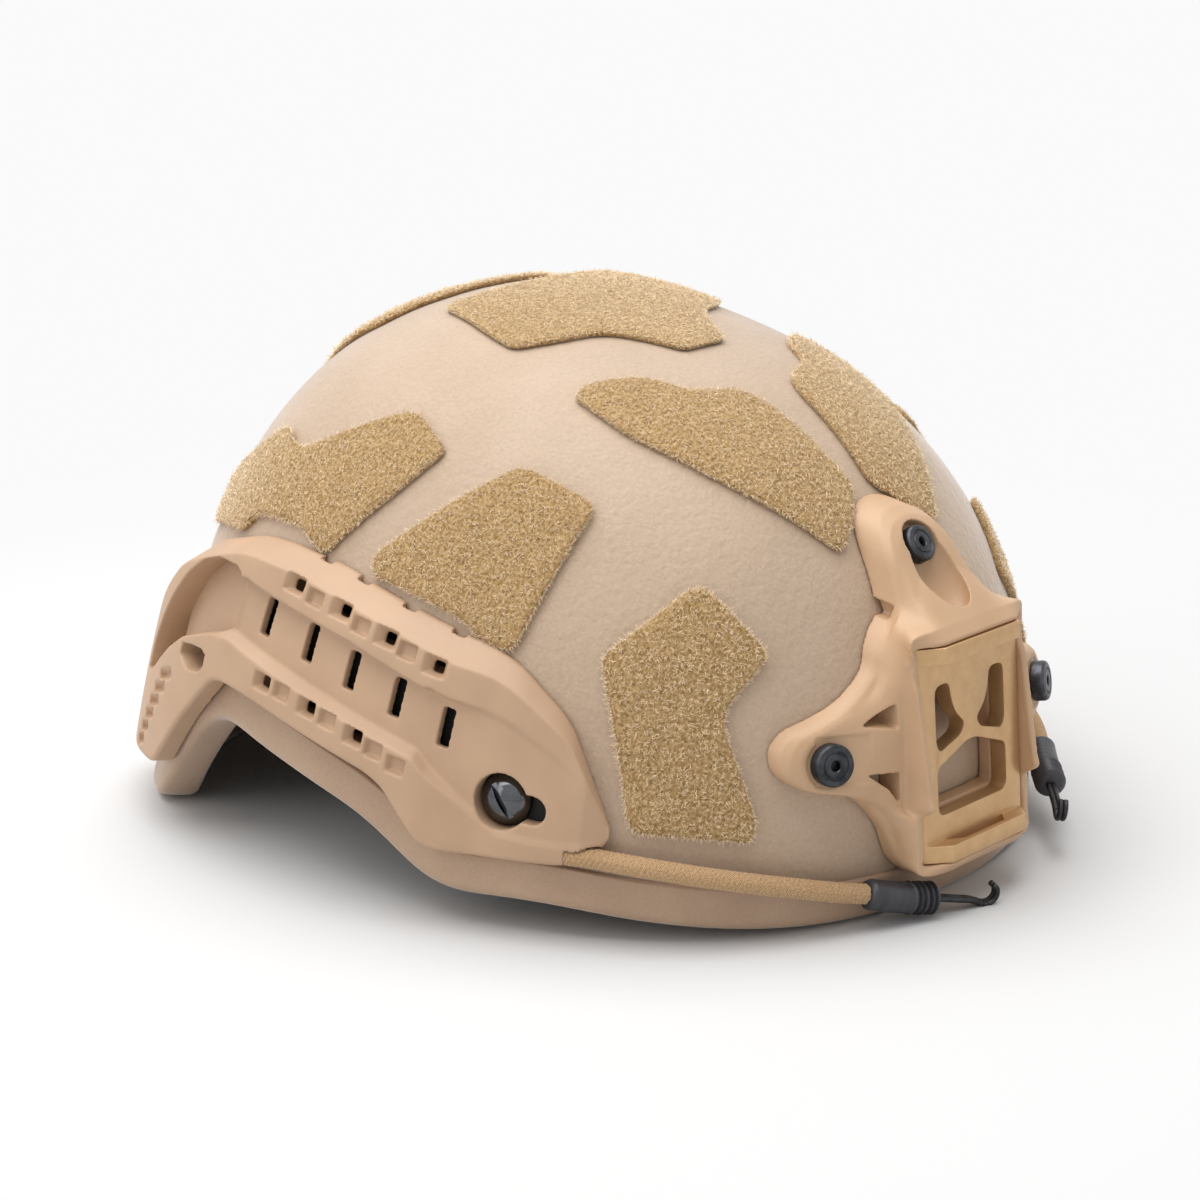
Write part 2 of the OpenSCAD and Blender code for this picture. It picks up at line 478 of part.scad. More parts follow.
// Side flanges rise beside the plate from its top bar down to a point over its lip
flange_high = 55.5;
flange_tip = 17;
flange_end = 14;
function flange_y(h) = h >= flange_high || h <= flange_end ? 5.2 : between(0.6, 4.4, (h - flange_tip) / 38.5);
function corner_y(x) = 0.7 + max(0, abs(x) - plate_w / 2 + chamfer) * 0.68;
hole_x = 17;
hole_low = 15;
hole_high = 57;
trim_high = brow_z + trim_h + 1;
function plate_point(x, y, h) = plate_at
  + [x, y * cos(plate_lean) + h * sin(plate_lean), h * cos(plate_lean) - y * sin(plate_lean)];
function between(a, b, t) = a * (1 - t) + b * t;
function frame_section(r) =
  let (top = r[3] > plate_h, low = r[3] < 0, side = abs(r[2]) > plate_w / 2,
       n = unit([side ? sign(r[2]) : 0, top ? 1 : low ? -1 : 0]),
       y = top || low ? corner_y(r[2]) : flange_y(r[3]),
       base = top || low ? plate_point(r[2] + n[0] * 3.4, max(3.4, y), r[3] + n[1] * (top ? 4.6 : 3.6))
         : plate_point(r[2] + n[0] * 2.8, 5.6, r[3]),
       e = [r[0], r[1]], way = [base.x, base.z] - e, m = norm(way),
       q1 = e + way * min(0.25, 1.3 / m), q2 = e + way * min(0.4, 3.6 / m), q3 = e + way * 0.56,
       w = [r[2] * hole_x / pocket_x, min(hole_high, max(hole_low, r[3]))],
       seat = plate_point(w[0], plate_d + pocket_gap, w[1]),
       under = e[1] < trim_high ? trim_gap + trim_t + seat_gap : core_gap, back = e - [seat.x, seat.z])
  [on_front(e[0], e[1], under), on_front(e[0], e[1], r[4]), on_front(q1[0], q1[1], between(r[4], r[5], 0.7)),
   on_front(q2[0], q2[1], r[5]), on_front(q3[0], q3[1], r[6]), base,
   plate_point(r[2] + n[0] * 0.9, y, r[3] + n[1] * 0.9), plate_point(r[2], y + 0.3, r[3]),
   plate_point(r[2], plate_d + pocket_gap, r[3]), seat, on_front(seat.x, seat.z, core_gap),
   for (t = [0.3, 0.6, 0.82]) on_front(seat.x + back[0] * t, seat.z + back[1] * t, core_gap)];
module frame_blank() {
  half = [for (r = frame_rows) frame_section(r)];
  ring(concat(half, [for (i = [len(half) - 2:-1:1]) [for (p = half[i]) [-p.x, p.y, p.z]]]));
}
module rib_windows() both() translate([0, -120, 0]) rotate([90, 0, 0]) linear_extrude(60) {
  polygon([[29.2, 94], [40, 88.2], [29.2, 87]]);
  polygon([[29.2, 74.5], [40, 75], [33, 70], [29.2, 65]]);
}
// Shallow recess round a side bolt, and the notch in the edge beside the upper lobe
module frame_marks() both() {
  at_side_bolt() translate([-6.6, -9.8, seat_z - seat_gap]) cube([13.2, 17, 10]);
  translate([-20.4, -133.6, 112.2]) cube([4.6, 60, 4]);
}
module shroud_frame() color("#b98f68") standing() difference() {
  frame_blank();
  at_top_bolt() {
    bore(bolt_d / 2 + 0.8, seat_z - seat_gap, 30);
    bore(shank_r + bore_gap, -4, 20);
  }
  both() at_side_bolt() {
    bore(bolt_d / 2 + 0.8, seat_z - seat_gap, 30);
    bore(shank_r + bore_gap, -4, 20);
  }
  rib_windows();
  frame_marks();
}
module flat_bolt() {
  translate([0, 0, seat_z]) {
    cylinder(d = bolt_d, h = bolt_head - 1, $fn = fine);
    translate([0, 0, bolt_head - 1]) cylinder(d1 = bolt_d, d2 = bolt_d - 2, h = 1, $fn = fine);
  }
  translate([0, 0, -shell_t - 3.4]) cylinder(r = shank_r, h = shell_t + 3.4 + seat_z, $fn = fine);
}
module bolt_sites() {
  at_top_bolt() children();
  both() at_side_bolt() children();
}
module shroud_bolts() color("#2b2d2f") standing() bolt_sites() difference() {
  flat_bolt();
  bore(1.6, seat_z + bolt_head - 1.4, seat_z + bolt_head + 1);
}
module shroud_nuts() color("#2b2d2f") standing() bolt_sites() difference() {
  translate([0, 0, -shell_t - 4.8]) cylinder(d = 13, h = 2.3, $fn = fine);
  bore(shank_r + bore_gap, -shell_t - 3.6, 0);
}

// Elastic cords
// Each runs from under a rail's front end along the brow to a ribbed sleeve and a wire hook
function tube_rings(pts, r, n, up) =
  [for (i = [0:len(pts) - 1])
    let (a = pts[max(i - 1, 0)], b = pts[min(i + 1, len(pts) - 1)], t = unit(b - a),
         u = unit(cross(t, up)), v = cross(u, t))
    [for (k = [0:n - 1]) pts[i] + r * (u * cos(360 * k / n) + v * sin(360 * k / n))]];
module tube(pts, r, n = 8, up = [0, 0, 1]) {
  rings = tube_rings(pts, r, n, up);
  loft(rings, pts[0], pts[len(pts) - 1]);
}
// Azimuth, height and stand-off along the cord
cord_stations = [[47.2, 46, 3.6], [44.5, 46.8, 3.8], [42, 47.2, 4.4], [38, 47.4, 5], [34, 47, 5.2], [30, 46.2, 5.2],
  [26, 45, 5.2], [22, 43.6, 5.6], [18, 41.8, 6.2], [14.6, 40.2, 6.8]];
cord_right_n = len(cord_stations);
cord_left_n = 6;
function cord_line(n) = [for (i = [0:n - 1]) let (s = cord_stations[i]) wall(s[0], s[1], s[2])];
module cord_right() color("#b9935f") standing() tube(cord_line(cord_right_n), cord_d / 2);
module cord_left() color("#b9935f") standing() mirror([1, 0, 0]) tube(cord_line(cord_left_n), cord_d / 2);

sleeve_len = 24;
sleeve_r = cord_d / 2 + 1.7;
// Sleeve and hook share the line that the cord ends on
function pull_dir(n) = let (line = cord_line(n)) unit(line[n - 1] - line[n - 2]);
module at_cord_end(n) aim(cord_line(n)[n - 1] + pull_dir(n) * seat_gap, pull_dir(n)) children();
module sleeve() {
  cylinder(r1 = sleeve_r - 0.6, r2 = sleeve_r, h = 3, $fn = fine);
  translate([0, 0, 3]) cylinder(r = sleeve_r, h = sleeve_len - 12, $fn = fine);
  for (i = [0:4]) translate([0, 0, sleeve_len - 9 + i * 1.8]) cylinder(r1 = sleeve_r + 0.5, r2 = sleeve_r - 0.4, h = 1.8, $fn = fine);
}
module sleeve_right() color("#35373a") standing() at_cord_end(cord_right_n) sleeve();
module sleeve_left() color("#35373a") standing() mirror([1, 0, 0]) at_cord_end(cord_left_n) sleeve();
wire_r = 0.9;
// Two wires leave the sleeve side by side and turn back together at the tip
hook_line = [[0, 0, 0], [0, 0, 4], [0, 0, 8], [0, 0, 12], [0.4, 0, 15], [0.9, 0, 17.6], [0.2, 0, 19.8], [-1.9, 0, 20.9],
  [-4.2, 0, 20.3], [-5.4, 0, 18.6]];
module hook() translate([0, 0, sleeve_len]) {
  for (side = [-1, 1]) tube([for (p = hook_line) p + [0, side * 0.75, 0]], wire_r, 8, [0, 1, 0]);
}
module hook_right() color("#2a2b2c") standing() at_cord_end(cord_right_n) hook();
module hook_left() color("#2a2b2c") standing() mirror([1, 0, 0]) at_cord_end(cord_left_n) hook();

// Fit system
// The dial's pinion draws two racks into a channel in the nape cradle
fit_tilt = 20;
fit_y = 0;
fit_z = 46;
// Room between the shell's inner face and the bands
band_room = 11.8;
band_r = rear_len - shell_t - band_room;
band_t = 1.6;
band_h = 11.2;
rack_low = 6;
channel_gap = 0.3;
wall_t = 2.3;
cradle_half = 48;
pinion_r = 5.6;
pinion_t = 1.8;
hub_r = 7;
dial_r = 15;
dial_h = 7;
module fit_frame() standing() translate([0, fit_y, fit_z]) rotate([-fit_tilt, 0, 0]) children();
// Ring segment about the fit system's axis; angles count from the nape towards the right
module arc(r, t, z, h, from, to)
  rotate([0, 0, 90 + from]) rotate_extrude(angle = to - from, $fn = 120) translate([r, z]) square([t, h]);
channel_in = band_r - channel_gap;
channel_out = band_r + band_t + channel_gap;
cradle_out = channel_out + wall_t;
module cradle_arm() hull() {
  fit_frame() rotate([0, 0, 90 + cradle_half]) translate([channel_out + 0.1, -8, -9]) cube([wall_t - 0.4, 7.5, 18]);
  standing() at_rear_screw() translate([0, 0, -shell_t - 6.9]) cylinder(d = 16, h = 2.4, $fn = 32);
}
module nape_cradle() color("#26272a") difference() {
  union() {
    fit_frame() difference() {
      arc(channel_in - wall_t, cradle_out - channel_in + wall_t, -band_h - 3, 2 * band_h + 6, -cradle_half, cradle_half);
      arc(channel_in, channel_out - channel_in, -band_h - channel_gap, 2 * band_h + 2 * channel_gap,
        -cradle_half - 1, cradle_half + 1);
    }
    cradle_arm();
    mirror([1, 0, 0]) cradle_arm();
  }
  fit_frame() translate([0, band_r, 0]) rotate([-90, 0, 0]) cylinder(r = hub_r + run_gap, h = 20, $fn = fine);
  standing() both() at_rear_screw() {
    bore(shank_r + bore_gap, -shell_t - 8, 0);
    bore(6.8, -shell_t - 20, -shell_t - 6.9);
  }
}
module dial_knob() color("#303236") fit_frame() rotate([-90, 0, 0]) {
  translate([0, 0, band_r + 0.1]) cylinder(r = pinion_r, h = pinion_t, $fn = fine);
  translate([0, 0, channel_out]) cylinder(r = hub_r, h = cradle_out + seat_gap - channel_out, $fn = fine);
  difference() {
    translate([0, 0, cradle_out + seat_gap]) cylinder(r = dial_r, h = dial_h, $fn = fine);
    for (i = [0:17]) rotate([0, 0, 20 * i])
      translate([dial_r + 0.5, 0, cradle_out + seat_gap + 1.5]) cylinder(r = 1.4, h = dial_h, $fn = 16);
  }
}
module band() {
  arc(band_r, band_t, rack_low, band_h - rack_low, -22, 54);
  arc(band_r, band_t, -band_h, 2 * band_h, 54, 108);
}
module band_right() color("#303236") fit_frame() band();
module band_left() color("#303236") fit_frame() rotate([0, 180, 0]) band();

// Harness
// Webbing along a path of [point, outward direction]
module webbing(path, w = web_w, t = web_t) {
  n = len(path);
  loops = [for (i = [0:n - 1])
    let (p = path[i][0], o = unit(path[i][1]), a = path[max(i - 1, 0)][0], b = path[min(i + 1, n - 1)][0],
         d = unit(cross(b - a, o)))
    [p - o * t / 2 + d * w / 2, p + o * t / 2 + d * w / 2,
     p + o * t / 2 - d * w / 2, p - o * t / 2 - d * w / 2]];
  loft(loops, path[0][0], path[n - 1][0]);
}
function inside(az, z, depth) = [wall(az, z, -shell_t - depth), outward(wall(az, z, 0))];
module strap_front_right() color("#1d1e20") standing() difference() {
  webbing([inside(52.2, 62.5, 1.9), inside(54.8, 56.3, 1.9), inside(58.5, 51, 2.4),
    inside(63, 48, 4), inside(67.5, 47, 5.4)]);
  at_screw() bore(shank_r + bore_gap, -20, 0);
}
module strap_front_left() mirror([1, 0, 0]) strap_front_right();
module strap_rear_right() color("#1d1e20") standing() difference() {
  webbing([inside(127.5, 23.5, 1.9), inside(124.5, 30, 1.9), inside(120.5, 40, 3), inside(113.5, 50, 5.4),
    inside(104, 52, 5.8), inside(95, 51.5, 5.5), inside(86, 50.5, 5.4), inside(79, 49, 5.4)]);
  at_rear_screw() bore(shank_r + bore_gap, -20, 0);
}
module strap_rear_left() mirror([1, 0, 0]) strap_rear_right();
yoke_az = 73;
yoke_z = 47.5;
yoke_depth = 7.8;
module yoke_right() color("#26272a") standing()
  aim(wall(yoke_az, yoke_z, -shell_t - yoke_depth), outward(wall(yoke_az, yoke_z, 0)))
    rotate([0, 0, 90]) translate([0, 0, -1]) linear_extrude(2) difference() {
      polygon(soft_loop([[-14, 11, 4], [14, 11, 4], [12, -12, 5], [-12, -12, 5]]));
      translate([-11, -1.2]) square([22, 2.4]);
    }
module yoke_left() mirror([1, 0, 0]) yoke_right();

// The chin strap lies on the table inside the brow; these points lie in a level frame under the helmet
floor_z = 1.1;
chin_path = [[[-98.7, -39.1, 38], [-1, -0.18, 0]], [[-97.8, -42.5, 27], [-1, -0.22, -0.1]],
  [[-95, -51.5, 16], [-0.9, -0.2, -0.4]], [[-90, -62.5, 7], [-0.6, -0.3, -0.8]],
  [[-82, -75, 2], [-0.1, -0.1, -1]], [[-72.6, -81.9, floor_z], [0, 0, -1]]];
module on_table() translate([0, stand_y, 0]) children();
module chin_strap_right() color("#1d1e20") on_table()
  webbing(concat(chin_path, [[[-58, -92.5, floor_z], [0, 0, -1]], [[-42, -100.5, floor_z], [0, 0, -1]],
    [[-24.5, -104.5, floor_z], [0, 0, -1]]]), 16);
module chin_strap_left() color("#1d1e20") on_table() mirror([1, 0, 0]) webbing(chin_path, 16);
module chin_cup() color("#232427") on_table()
  webbing([[[-24, -104.5, 2.5], [0.2, 0, 1]], [[-15, -106.5, 7.2], [-0.45, 0, 1]], [[-6, -107.5, 10.4], [-0.2, 0, 1]],
    [[6, -107.5, 10.4], [0.2, 0, 1]], [[15, -106.5, 7.2], [0.45, 0, 1]], [[24, -104.5, 2.5], [-0.2, 0, 1]]], 30, 3.6);

// Buckle: X runs from the socket to the plug along the table
buckle_at = [72, -82.5, 0];
buckle_turn = -155.4;
socket_l = 21;
tongue_l = 15;
tongue_w = 18;
plug_l = 12;
module buckle_frame() on_table() translate(buckle_at) rotate([0, 0, buckle_turn]) children();
module buckle_strap() color("#1d1e20") buckle_frame()
  translate([socket_l + 5, -8, floor_z - web_t / 2]) cube([51 - socket_l - 5, 16, web_t]);
module buckle_socket() color("#202124") buckle_frame() difference() {
  translate([1.2, -13, 0.3]) cube([socket_l - 1.2, 26, 9]);
  translate([3, -tongue_w / 2 - 0.4, 2.6]) cube([socket_l, tongue_w + 0.8, 4.4]);
  translate([6, -14, 2.6]) cube([8, 28, 4.4]);
}
module buckle_plug() color("#202124") buckle_frame() {
  difference() {
    translate([socket_l + 0.6, -13, 0.3]) cube([plug_l, 26, 7.5]);
    translate([socket_l, -8.6, -0.1]) cube([plug_l + 2, 17.2, floor_z + web_t / 2 + 0.5]);
  }
  translate([socket_l + 1 - tongue_l, 0, 3]) linear_extrude(3.6) difference() {
    polygon([[0, -4], [0, 4], [2, 4], [2, tongue_w / 2], [6, tongue_w / 2], [9, 7], [tongue_l, 7],
      [tongue_l, -7], [9, -7], [6, -tongue_w / 2], [2, -tongue_w / 2], [2, -4]]);
    translate([-1, 3]) square([10, 1.5]);
    translate([-1, -4.5]) square([10, 1.5]);
  }
}

shell();
edge_trim();
shroud_frame();
shroud_plate();
shroud_bolts();
shroud_nuts();
rail_right();
rail_left();
rail_screws();
rail_posts();
rail_rear_screws();
loop_crown();
loop_rear_crown();
loop_brow_right();
loop_brow_left();
loop_temple_right();
loop_temple_left();
loop_side_right();
loop_side_left();
loop_rear_right();
loop_rear_left();
pad_crown();
pad_front();
pad_rear();
pad_front_right();
pad_front_left();
pad_rear_right();
pad_rear_left();
cord_right();
cord_left();
sleeve_right();
sleeve_left();
hook_right();
hook_left();
nape_cradle();
dial_knob();
band_right();
band_left();
strap_front_right();
strap_front_left();
strap_rear_right();
strap_rear_left();
yoke_right();
yoke_left();
chin_strap_right();
chin_strap_left();
chin_cup();
buckle_strap();
buckle_socket();
buckle_plug();
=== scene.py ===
"""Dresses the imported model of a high-cut combat helmet, and sets its studio.

Lengths are in millimetres in the helmet's own level frame unless a name says otherwise:
azimuth 0 is the brow, 90 the wearer's right (-X) and 180 the nape, and heights are measured
from the shell's widest line. stand() pitches such points forward on to the table, in metres.
"""

import math

import bmesh
import bpy
import numpy as np
from mathutils import Matrix, Vector


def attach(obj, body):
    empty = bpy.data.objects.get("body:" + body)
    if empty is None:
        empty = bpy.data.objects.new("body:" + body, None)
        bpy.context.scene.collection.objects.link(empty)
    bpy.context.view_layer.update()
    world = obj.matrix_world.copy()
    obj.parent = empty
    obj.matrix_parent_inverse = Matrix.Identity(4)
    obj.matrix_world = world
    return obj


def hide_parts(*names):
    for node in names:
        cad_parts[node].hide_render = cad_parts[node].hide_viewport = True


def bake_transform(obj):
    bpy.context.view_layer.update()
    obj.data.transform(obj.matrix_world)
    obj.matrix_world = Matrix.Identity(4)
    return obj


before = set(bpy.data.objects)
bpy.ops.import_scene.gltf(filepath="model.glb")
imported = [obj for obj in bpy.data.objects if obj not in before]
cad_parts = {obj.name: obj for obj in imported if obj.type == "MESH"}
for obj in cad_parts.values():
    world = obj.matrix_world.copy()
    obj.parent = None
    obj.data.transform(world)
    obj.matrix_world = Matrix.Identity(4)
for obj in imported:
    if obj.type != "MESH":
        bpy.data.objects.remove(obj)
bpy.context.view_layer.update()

MM = 0.001
# How the level helmet is pitched and shifted, in millimetres, to stand on its brow and nape
PITCH = math.radians(9.9)
STAND = (0.0, 26.2041, -1.81246)

# Camera: the photographer stood at the helmet's right front, a little above it
EYE = Vector((-0.691586, -0.61898636, 0.33182462))
AIM = Vector((0.0000257, 0.0034107, 0.0635208))
LENS = 91.01146
ROLL = math.radians(0.38746)


def make_camera():
    """The photograph's view: square frame, no shift."""
    data = bpy.data.cameras.new("photo_camera")
    data.sensor_width = 36
    data.sensor_height = 36
    data.lens = LENS
    data.clip_start = 0.05
    data.clip_end = 40
    camera = bpy.data.objects.new("photo_camera", data)
    bpy.context.collection.objects.link(camera)
    turn = (AIM - EYE).to_track_quat("-Z", "Y") @ Matrix.Rotation(-ROLL, 4, "Z").to_quaternion()
    camera.matrix_world = Matrix.Translation(EYE) @ turn.to_matrix().to_4x4()
    bpy.context.scene.camera = camera


make_camera()


# Places

# From the level frame, in millimetres, to the table's, in metres
LEVEL = (
    Matrix.Translation(Vector(STAND) * MM)
    @ Matrix.Rotation(PITCH, 4, "X")
    @ Matrix.Scale(MM, 4)
)


def stand(points):
    """World points, in metres, of points of the level frame."""
    m = np.array(LEVEL)
    return np.asarray(points) @ m[:3, :3].T + m[:3, 3]


# The dome: its half axes, the exponents of its plan and of its rise, and the flare over the nape
HALF_W, FRONT_LEN, REAR_LEN, CROWN_H = 120.7, 155.2, 110.9, 163.6
PLAN_N, CROWN_N = 2.38, 2.585
FLARE_OUT, FLARE_TOP, FLARE_LOW, FLARE_N = 11.4, 55.0, -30.0, 1.3
# The shell's thickness, and the height of its edge at the brow
SHELL_T, BROW_Z = 8.5, 30.8


def rad(az):
    """Radians of degrees."""
    return np.radians(az)


def reach(rear, z, off):
    """Half length of the plan at a height, to the brow or to the flared nape."""
    flare = FLARE_OUT * np.maximum(0, (FLARE_TOP - z) / (FLARE_TOP - FLARE_LOW)) ** FLARE_N
    return np.where(rear, REAR_LEN + off + flare, FRONT_LEN + off)


def wall(az, z, off):
    """Point on the wall at an azimuth and a height, standing off the outer surface by off."""
    az, z, off = np.broadcast_arrays(*(np.asarray(v, float) for v in (az, z, off)))
    t = np.maximum(1 - (np.maximum(z, 0) / (CROWN_H + off)) ** CROWN_N, 1e-6) ** (1 / CROWN_N)
    s, c = np.sin(rad(az)), np.cos(rad(az))
    a, b = (HALF_W + off) * t, reach(c < 0, z, off) * t
    r = ((np.abs(s) / a) ** PLAN_N + (np.abs(c) / b) ** PLAN_N) ** (-1 / PLAN_N)
    return np.stack([-r * s, -r * c, z], axis=-1)


def level(p, off):
    """1 on the surface that stands off by off, less inside it and more outside."""
    x, y, z = np.moveaxis(np.asarray(p, float), -1, 0)
    plan = (np.abs(x) / (HALF_W + off)) ** PLAN_N + (np.abs(y) / reach(y > 0, z, off)) ** PLAN_N
    up = (np.maximum(z, 0) / (CROWN_H + off)) ** CROWN_N
    return (plan ** (CROWN_N / PLAN_N) + up) ** (1 / CROWN_N)


def cast(start, way, off):
    """Points where rays from inside the dome meet its surface."""
    start = np.asarray(start, float)
    near = np.zeros(start.shape[:-1])
    far = near + 250
    # Halve the stretch between a point inside and one outside
    for _ in range(24):
        half = (near + far) / 2
        inside = level(start + np.asarray(way) * half[..., None], off) < 1
        near, far = np.where(inside, half, near), np.where(inside, far, half)
    return start + np.asarray(way) * half[..., None]


def outward(p):
    """Outward directions at points on the dome."""
    steps = np.eye(3) * 0.05
    d = np.stack([level(p + s, 0) - level(p - s, 0) for s in steps], axis=-1)
    return d / np.linalg.norm(d, axis=-1, keepdims=True)


def on_front(x, z, off):
    """Point of the brow that is x to the side and z up."""
    x, z = np.broadcast_arrays(np.asarray(x, float), np.asarray(z, float))
    return cast(np.stack([x, 0 * x, z], axis=-1), [0, -1, 0], off)


def aim(p, n, turn=0):
    """Matrix that stands a shape, modelled in millimetres along +Z, on a point of the dome."""
    n = Vector(n)
    return (
        LEVEL
        @ Matrix.Translation(Vector(p))
        @ Matrix.Rotation(math.atan2(n.y, n.x), 4, "Z")
        @ Matrix.Rotation(math.acos(n.z), 4, "Y")
        @ Matrix.Rotation(math.radians(turn), 4, "Z")
    )


# Takes points of the wearer's right to the left
MIRROR = np.array([-1, 1, 1])


def lookup(x, table):
    """Piecewise straight line through a table of (x, y)."""
    return np.interp(x, [row[0] for row in table], [row[1] for row in table])


def soft_line(points, steps=6, closed=False):
    """Outline through (x, y, cut) corners, each rounded off by its cut."""
    pts = [(np.array(p[:2], float), p[2] if len(p) > 2 else 0) for p in points]
    n = len(pts)
    line = []
    for i, (b, cut) in enumerate(pts):
        if not closed and i in (0, n - 1) or cut == 0:
            line.append(b)
            continue
        a, c = pts[i - 1][0], pts[(i + 1) % n][0]
        la, lc = np.linalg.norm(a - b), np.linalg.norm(c - b)
        cut = min(cut, la * 0.48, lc * 0.48)
        p, q = b + (a - b) / la * cut, b + (c - b) / lc * cut
        for t in np.linspace(0, 1, steps + 1):
            line.append(p * (1 - t) ** 2 + b * 2 * t * (1 - t) + q * t * t)
    return np.array(line)


def evenly(line, step, closed=False):
    """The same line with points at even spacing of about step."""
    if closed:
        line = np.vstack([line, line[:1]])
    gone = np.concatenate([[0], np.cumsum(np.linalg.norm(np.diff(line, axis=0), axis=1))])
    n = max(3, round(gone[-1] / step))
    at = np.linspace(0, gone[-1], n, endpoint=False) if closed else np.linspace(0, gone[-1], n + 1)
    return np.stack([np.interp(at, gone, col) for col in line.T], axis=1)


def between(a, b, c, d, t):
    """Smooth curve from b to c, between its neighbours a and d, at a share t of the way."""
    return 0.5 * (2 * b + (c - a) * t + (2 * a - 5 * b + 4 * c - d) * t**2 + (3 * b - a - 3 * c + d) * t**3)


def flowing(points, n):
    """n points on a smooth curve through a few points."""
    p = np.asarray(points, float)
    p = np.vstack([2 * p[0] - p[1], p, 2 * p[-1] - p[-2]])
    at = np.linspace(0, len(p) - 3.000001, n)
    i = at.astype(int)
    return between(p[i], p[i + 1], p[i + 2], p[i + 3], (at % 1)[:, None])


# Shapes

# Bodies that nodes move with; the rest belong to the helmet
BODY = {
    "dial_knob": "dial",
    "band_right": "right_band",
    "band_left": "left_band",
    "sleeve_right": "right_pull",
    "sleeve_left": "left_pull",
    "hook_right": "right_pull",
    "hook_left": "left_pull",
    "buckle_plug": "plug",
}


def as_object(name, mesh):
    """A new object of a mesh, in the scene."""
    obj = bpy.data.objects.new(name, mesh)
    bpy.context.collection.objects.link(obj)
    return obj


def as_piece(name, bm):
    """A new object of a bmesh, which is freed."""
    mesh = bpy.data.meshes.new(name)
    bm.to_mesh(mesh)
    bm.free()
    return as_object(name, mesh)


def close_up(bm):
    """Merge doubled points, drop what has no area and turn the faces outwards."""
    bmesh.ops.remove_doubles(bm, verts=bm.verts, dist=2e-6)
    bmesh.ops.dissolve_degenerate(bm, edges=bm.edges, dist=1e-6)
    bmesh.ops.recalc_face_normals(bm, faces=bm.faces)


def skin(name, points, wrap=False, caps=False, size=(1, 1), place=stand):
    """Sheet of faces through rows of points. size is its UV map's reach, in millimetres."""
    points = np.asarray(points, float)
    if wrap:
        points = np.concatenate([points, points[:, :1]], axis=1)
    # Each end of a tube closes on its own middle
    if caps:
        ends = [np.broadcast_to(points[k, :-1].mean(axis=0), points[k].shape)[None] for k in (0, -1)]
        points = np.concatenate([ends[0], points, ends[1]])
    rows, cols = points.shape[:2]
    bm = bmesh.new()
    bm.loops.layers.uv.new("UVMap")
    bmesh.ops.create_grid(bm, x_segments=cols - 1, y_segments=rows - 1, size=0.5, calc_uvs=True)
    sheet = as_piece(name, bm)
    mesh = sheet.data
    at = np.empty(len(mesh.vertices) * 3)
    mesh.vertices.foreach_get("co", at)
    col, row = np.rint((at.reshape(-1, 3)[:, :2] + 0.5) * [cols - 1, rows - 1]).astype(int).T
    mesh.vertices.foreach_set("co", place(points[row, col]).ravel())
    uv = np.empty(len(mesh.loops) * 2)
    mesh.uv_layers[0].data.foreach_get("uv", uv)
    mesh.uv_layers[0].data.foreach_set("uv", (uv.reshape(-1, 2) * size).ravel())
    return remade(sheet, close_up)


def remade(obj, change):
    """Pass a mesh through bmesh operators."""
    bm = bmesh.new()
    bm.from_mesh(obj.data)
    change(bm)
    bm.to_mesh(obj.data)
    bm.free()
    return obj


def turned(name, profile, places, steps=64):
    """Lathe a profile of (radius, height) about +Z and set it at each place."""
    bm = bmesh.new()
    for place in places:
        verts = [bm.verts.new((r, 0, z)) for r, z in profile]
        edges = [bm.edges.new(pair) for pair in zip(verts, verts[1:])]
        bmesh.ops.spin(
            bm, geom=verts + edges, cent=(0, 0, 0), axis=(0, 0, 1), angle=math.tau, steps=steps,
            use_merge=True,
        )
        new = {v for f in bm.faces for v in f.verts if not v.tag}
        bmesh.ops.transform(bm, matrix=place, verts=list(new))
        for v in new:
            v.tag = True
    close_up(bm)
    return as_piece(name, bm)


def settle(obj):
    """Apply the modifiers, so that the mesh is what shows."""
    graph = bpy.context.evaluated_depsgraph_get()
    mesh = bpy.data.meshes.new_from_object(obj.evaluated_get(graph))
    obj.modifiers.clear()
    obj.data = mesh
    return obj


def modify(obj, kind, **settings):
    """Add a modifier and apply it."""
    mod = obj.modifiers.new(kind.lower(), kind)
    for key, value in settings.items():
        setattr(mod, key, value)
    return settle(obj)


def smooth(obj, sharp=40):
    """Shade smooth, with creases where faces meet at more than an angle."""
    obj.data.shade_smooth()
    obj.data.set_sharp_from_angle(angle=math.radians(sharp))
    return obj


def block(place, size, at=(0, 0, 0)):
    """A box for a cutter, its middle at a point of a place."""
    cube = Matrix.Translation(Vector(at)) @ Matrix.Diagonal(Vector(size).to_4d())
    return bmesh.ops.create_cube, {"size": 1}, place @ cube


def drum(place, low, high, depth, up=0, sides=32):
    """A round for a cutter, from one radius to the other, its middle up from a place."""
    shape = {"segments": sides, "cap_ends": True, "radius1": low, "radius2": high, "depth": depth}
    return bmesh.ops.create_cone, shape, place @ Matrix.Translation((0, 0, up))


def cutter(name, shapes):
    """One object of several closed shapes, each (operator, its settings, matrix)."""
    bm = bmesh.new()
    for make, settings, matrix in shapes:
        made = make(bm, **settings)["verts"]
        bmesh.ops.transform(bm, matrix=matrix, verts=made)
    bmesh.ops.recalc_face_normals(bm, faces=bm.faces)
    return as_piece(name, bm)


def carve(obj, tools, solver="EXACT"):
    """Cut tools out of a piece and remove them. The shapes of one tool don't overlap."""
    for tool in tools:
        modify(obj, "BOOLEAN", operation="DIFFERENCE", solver=solver, object=tool)
        bpy.data.objects.remove(tool)
    return obj


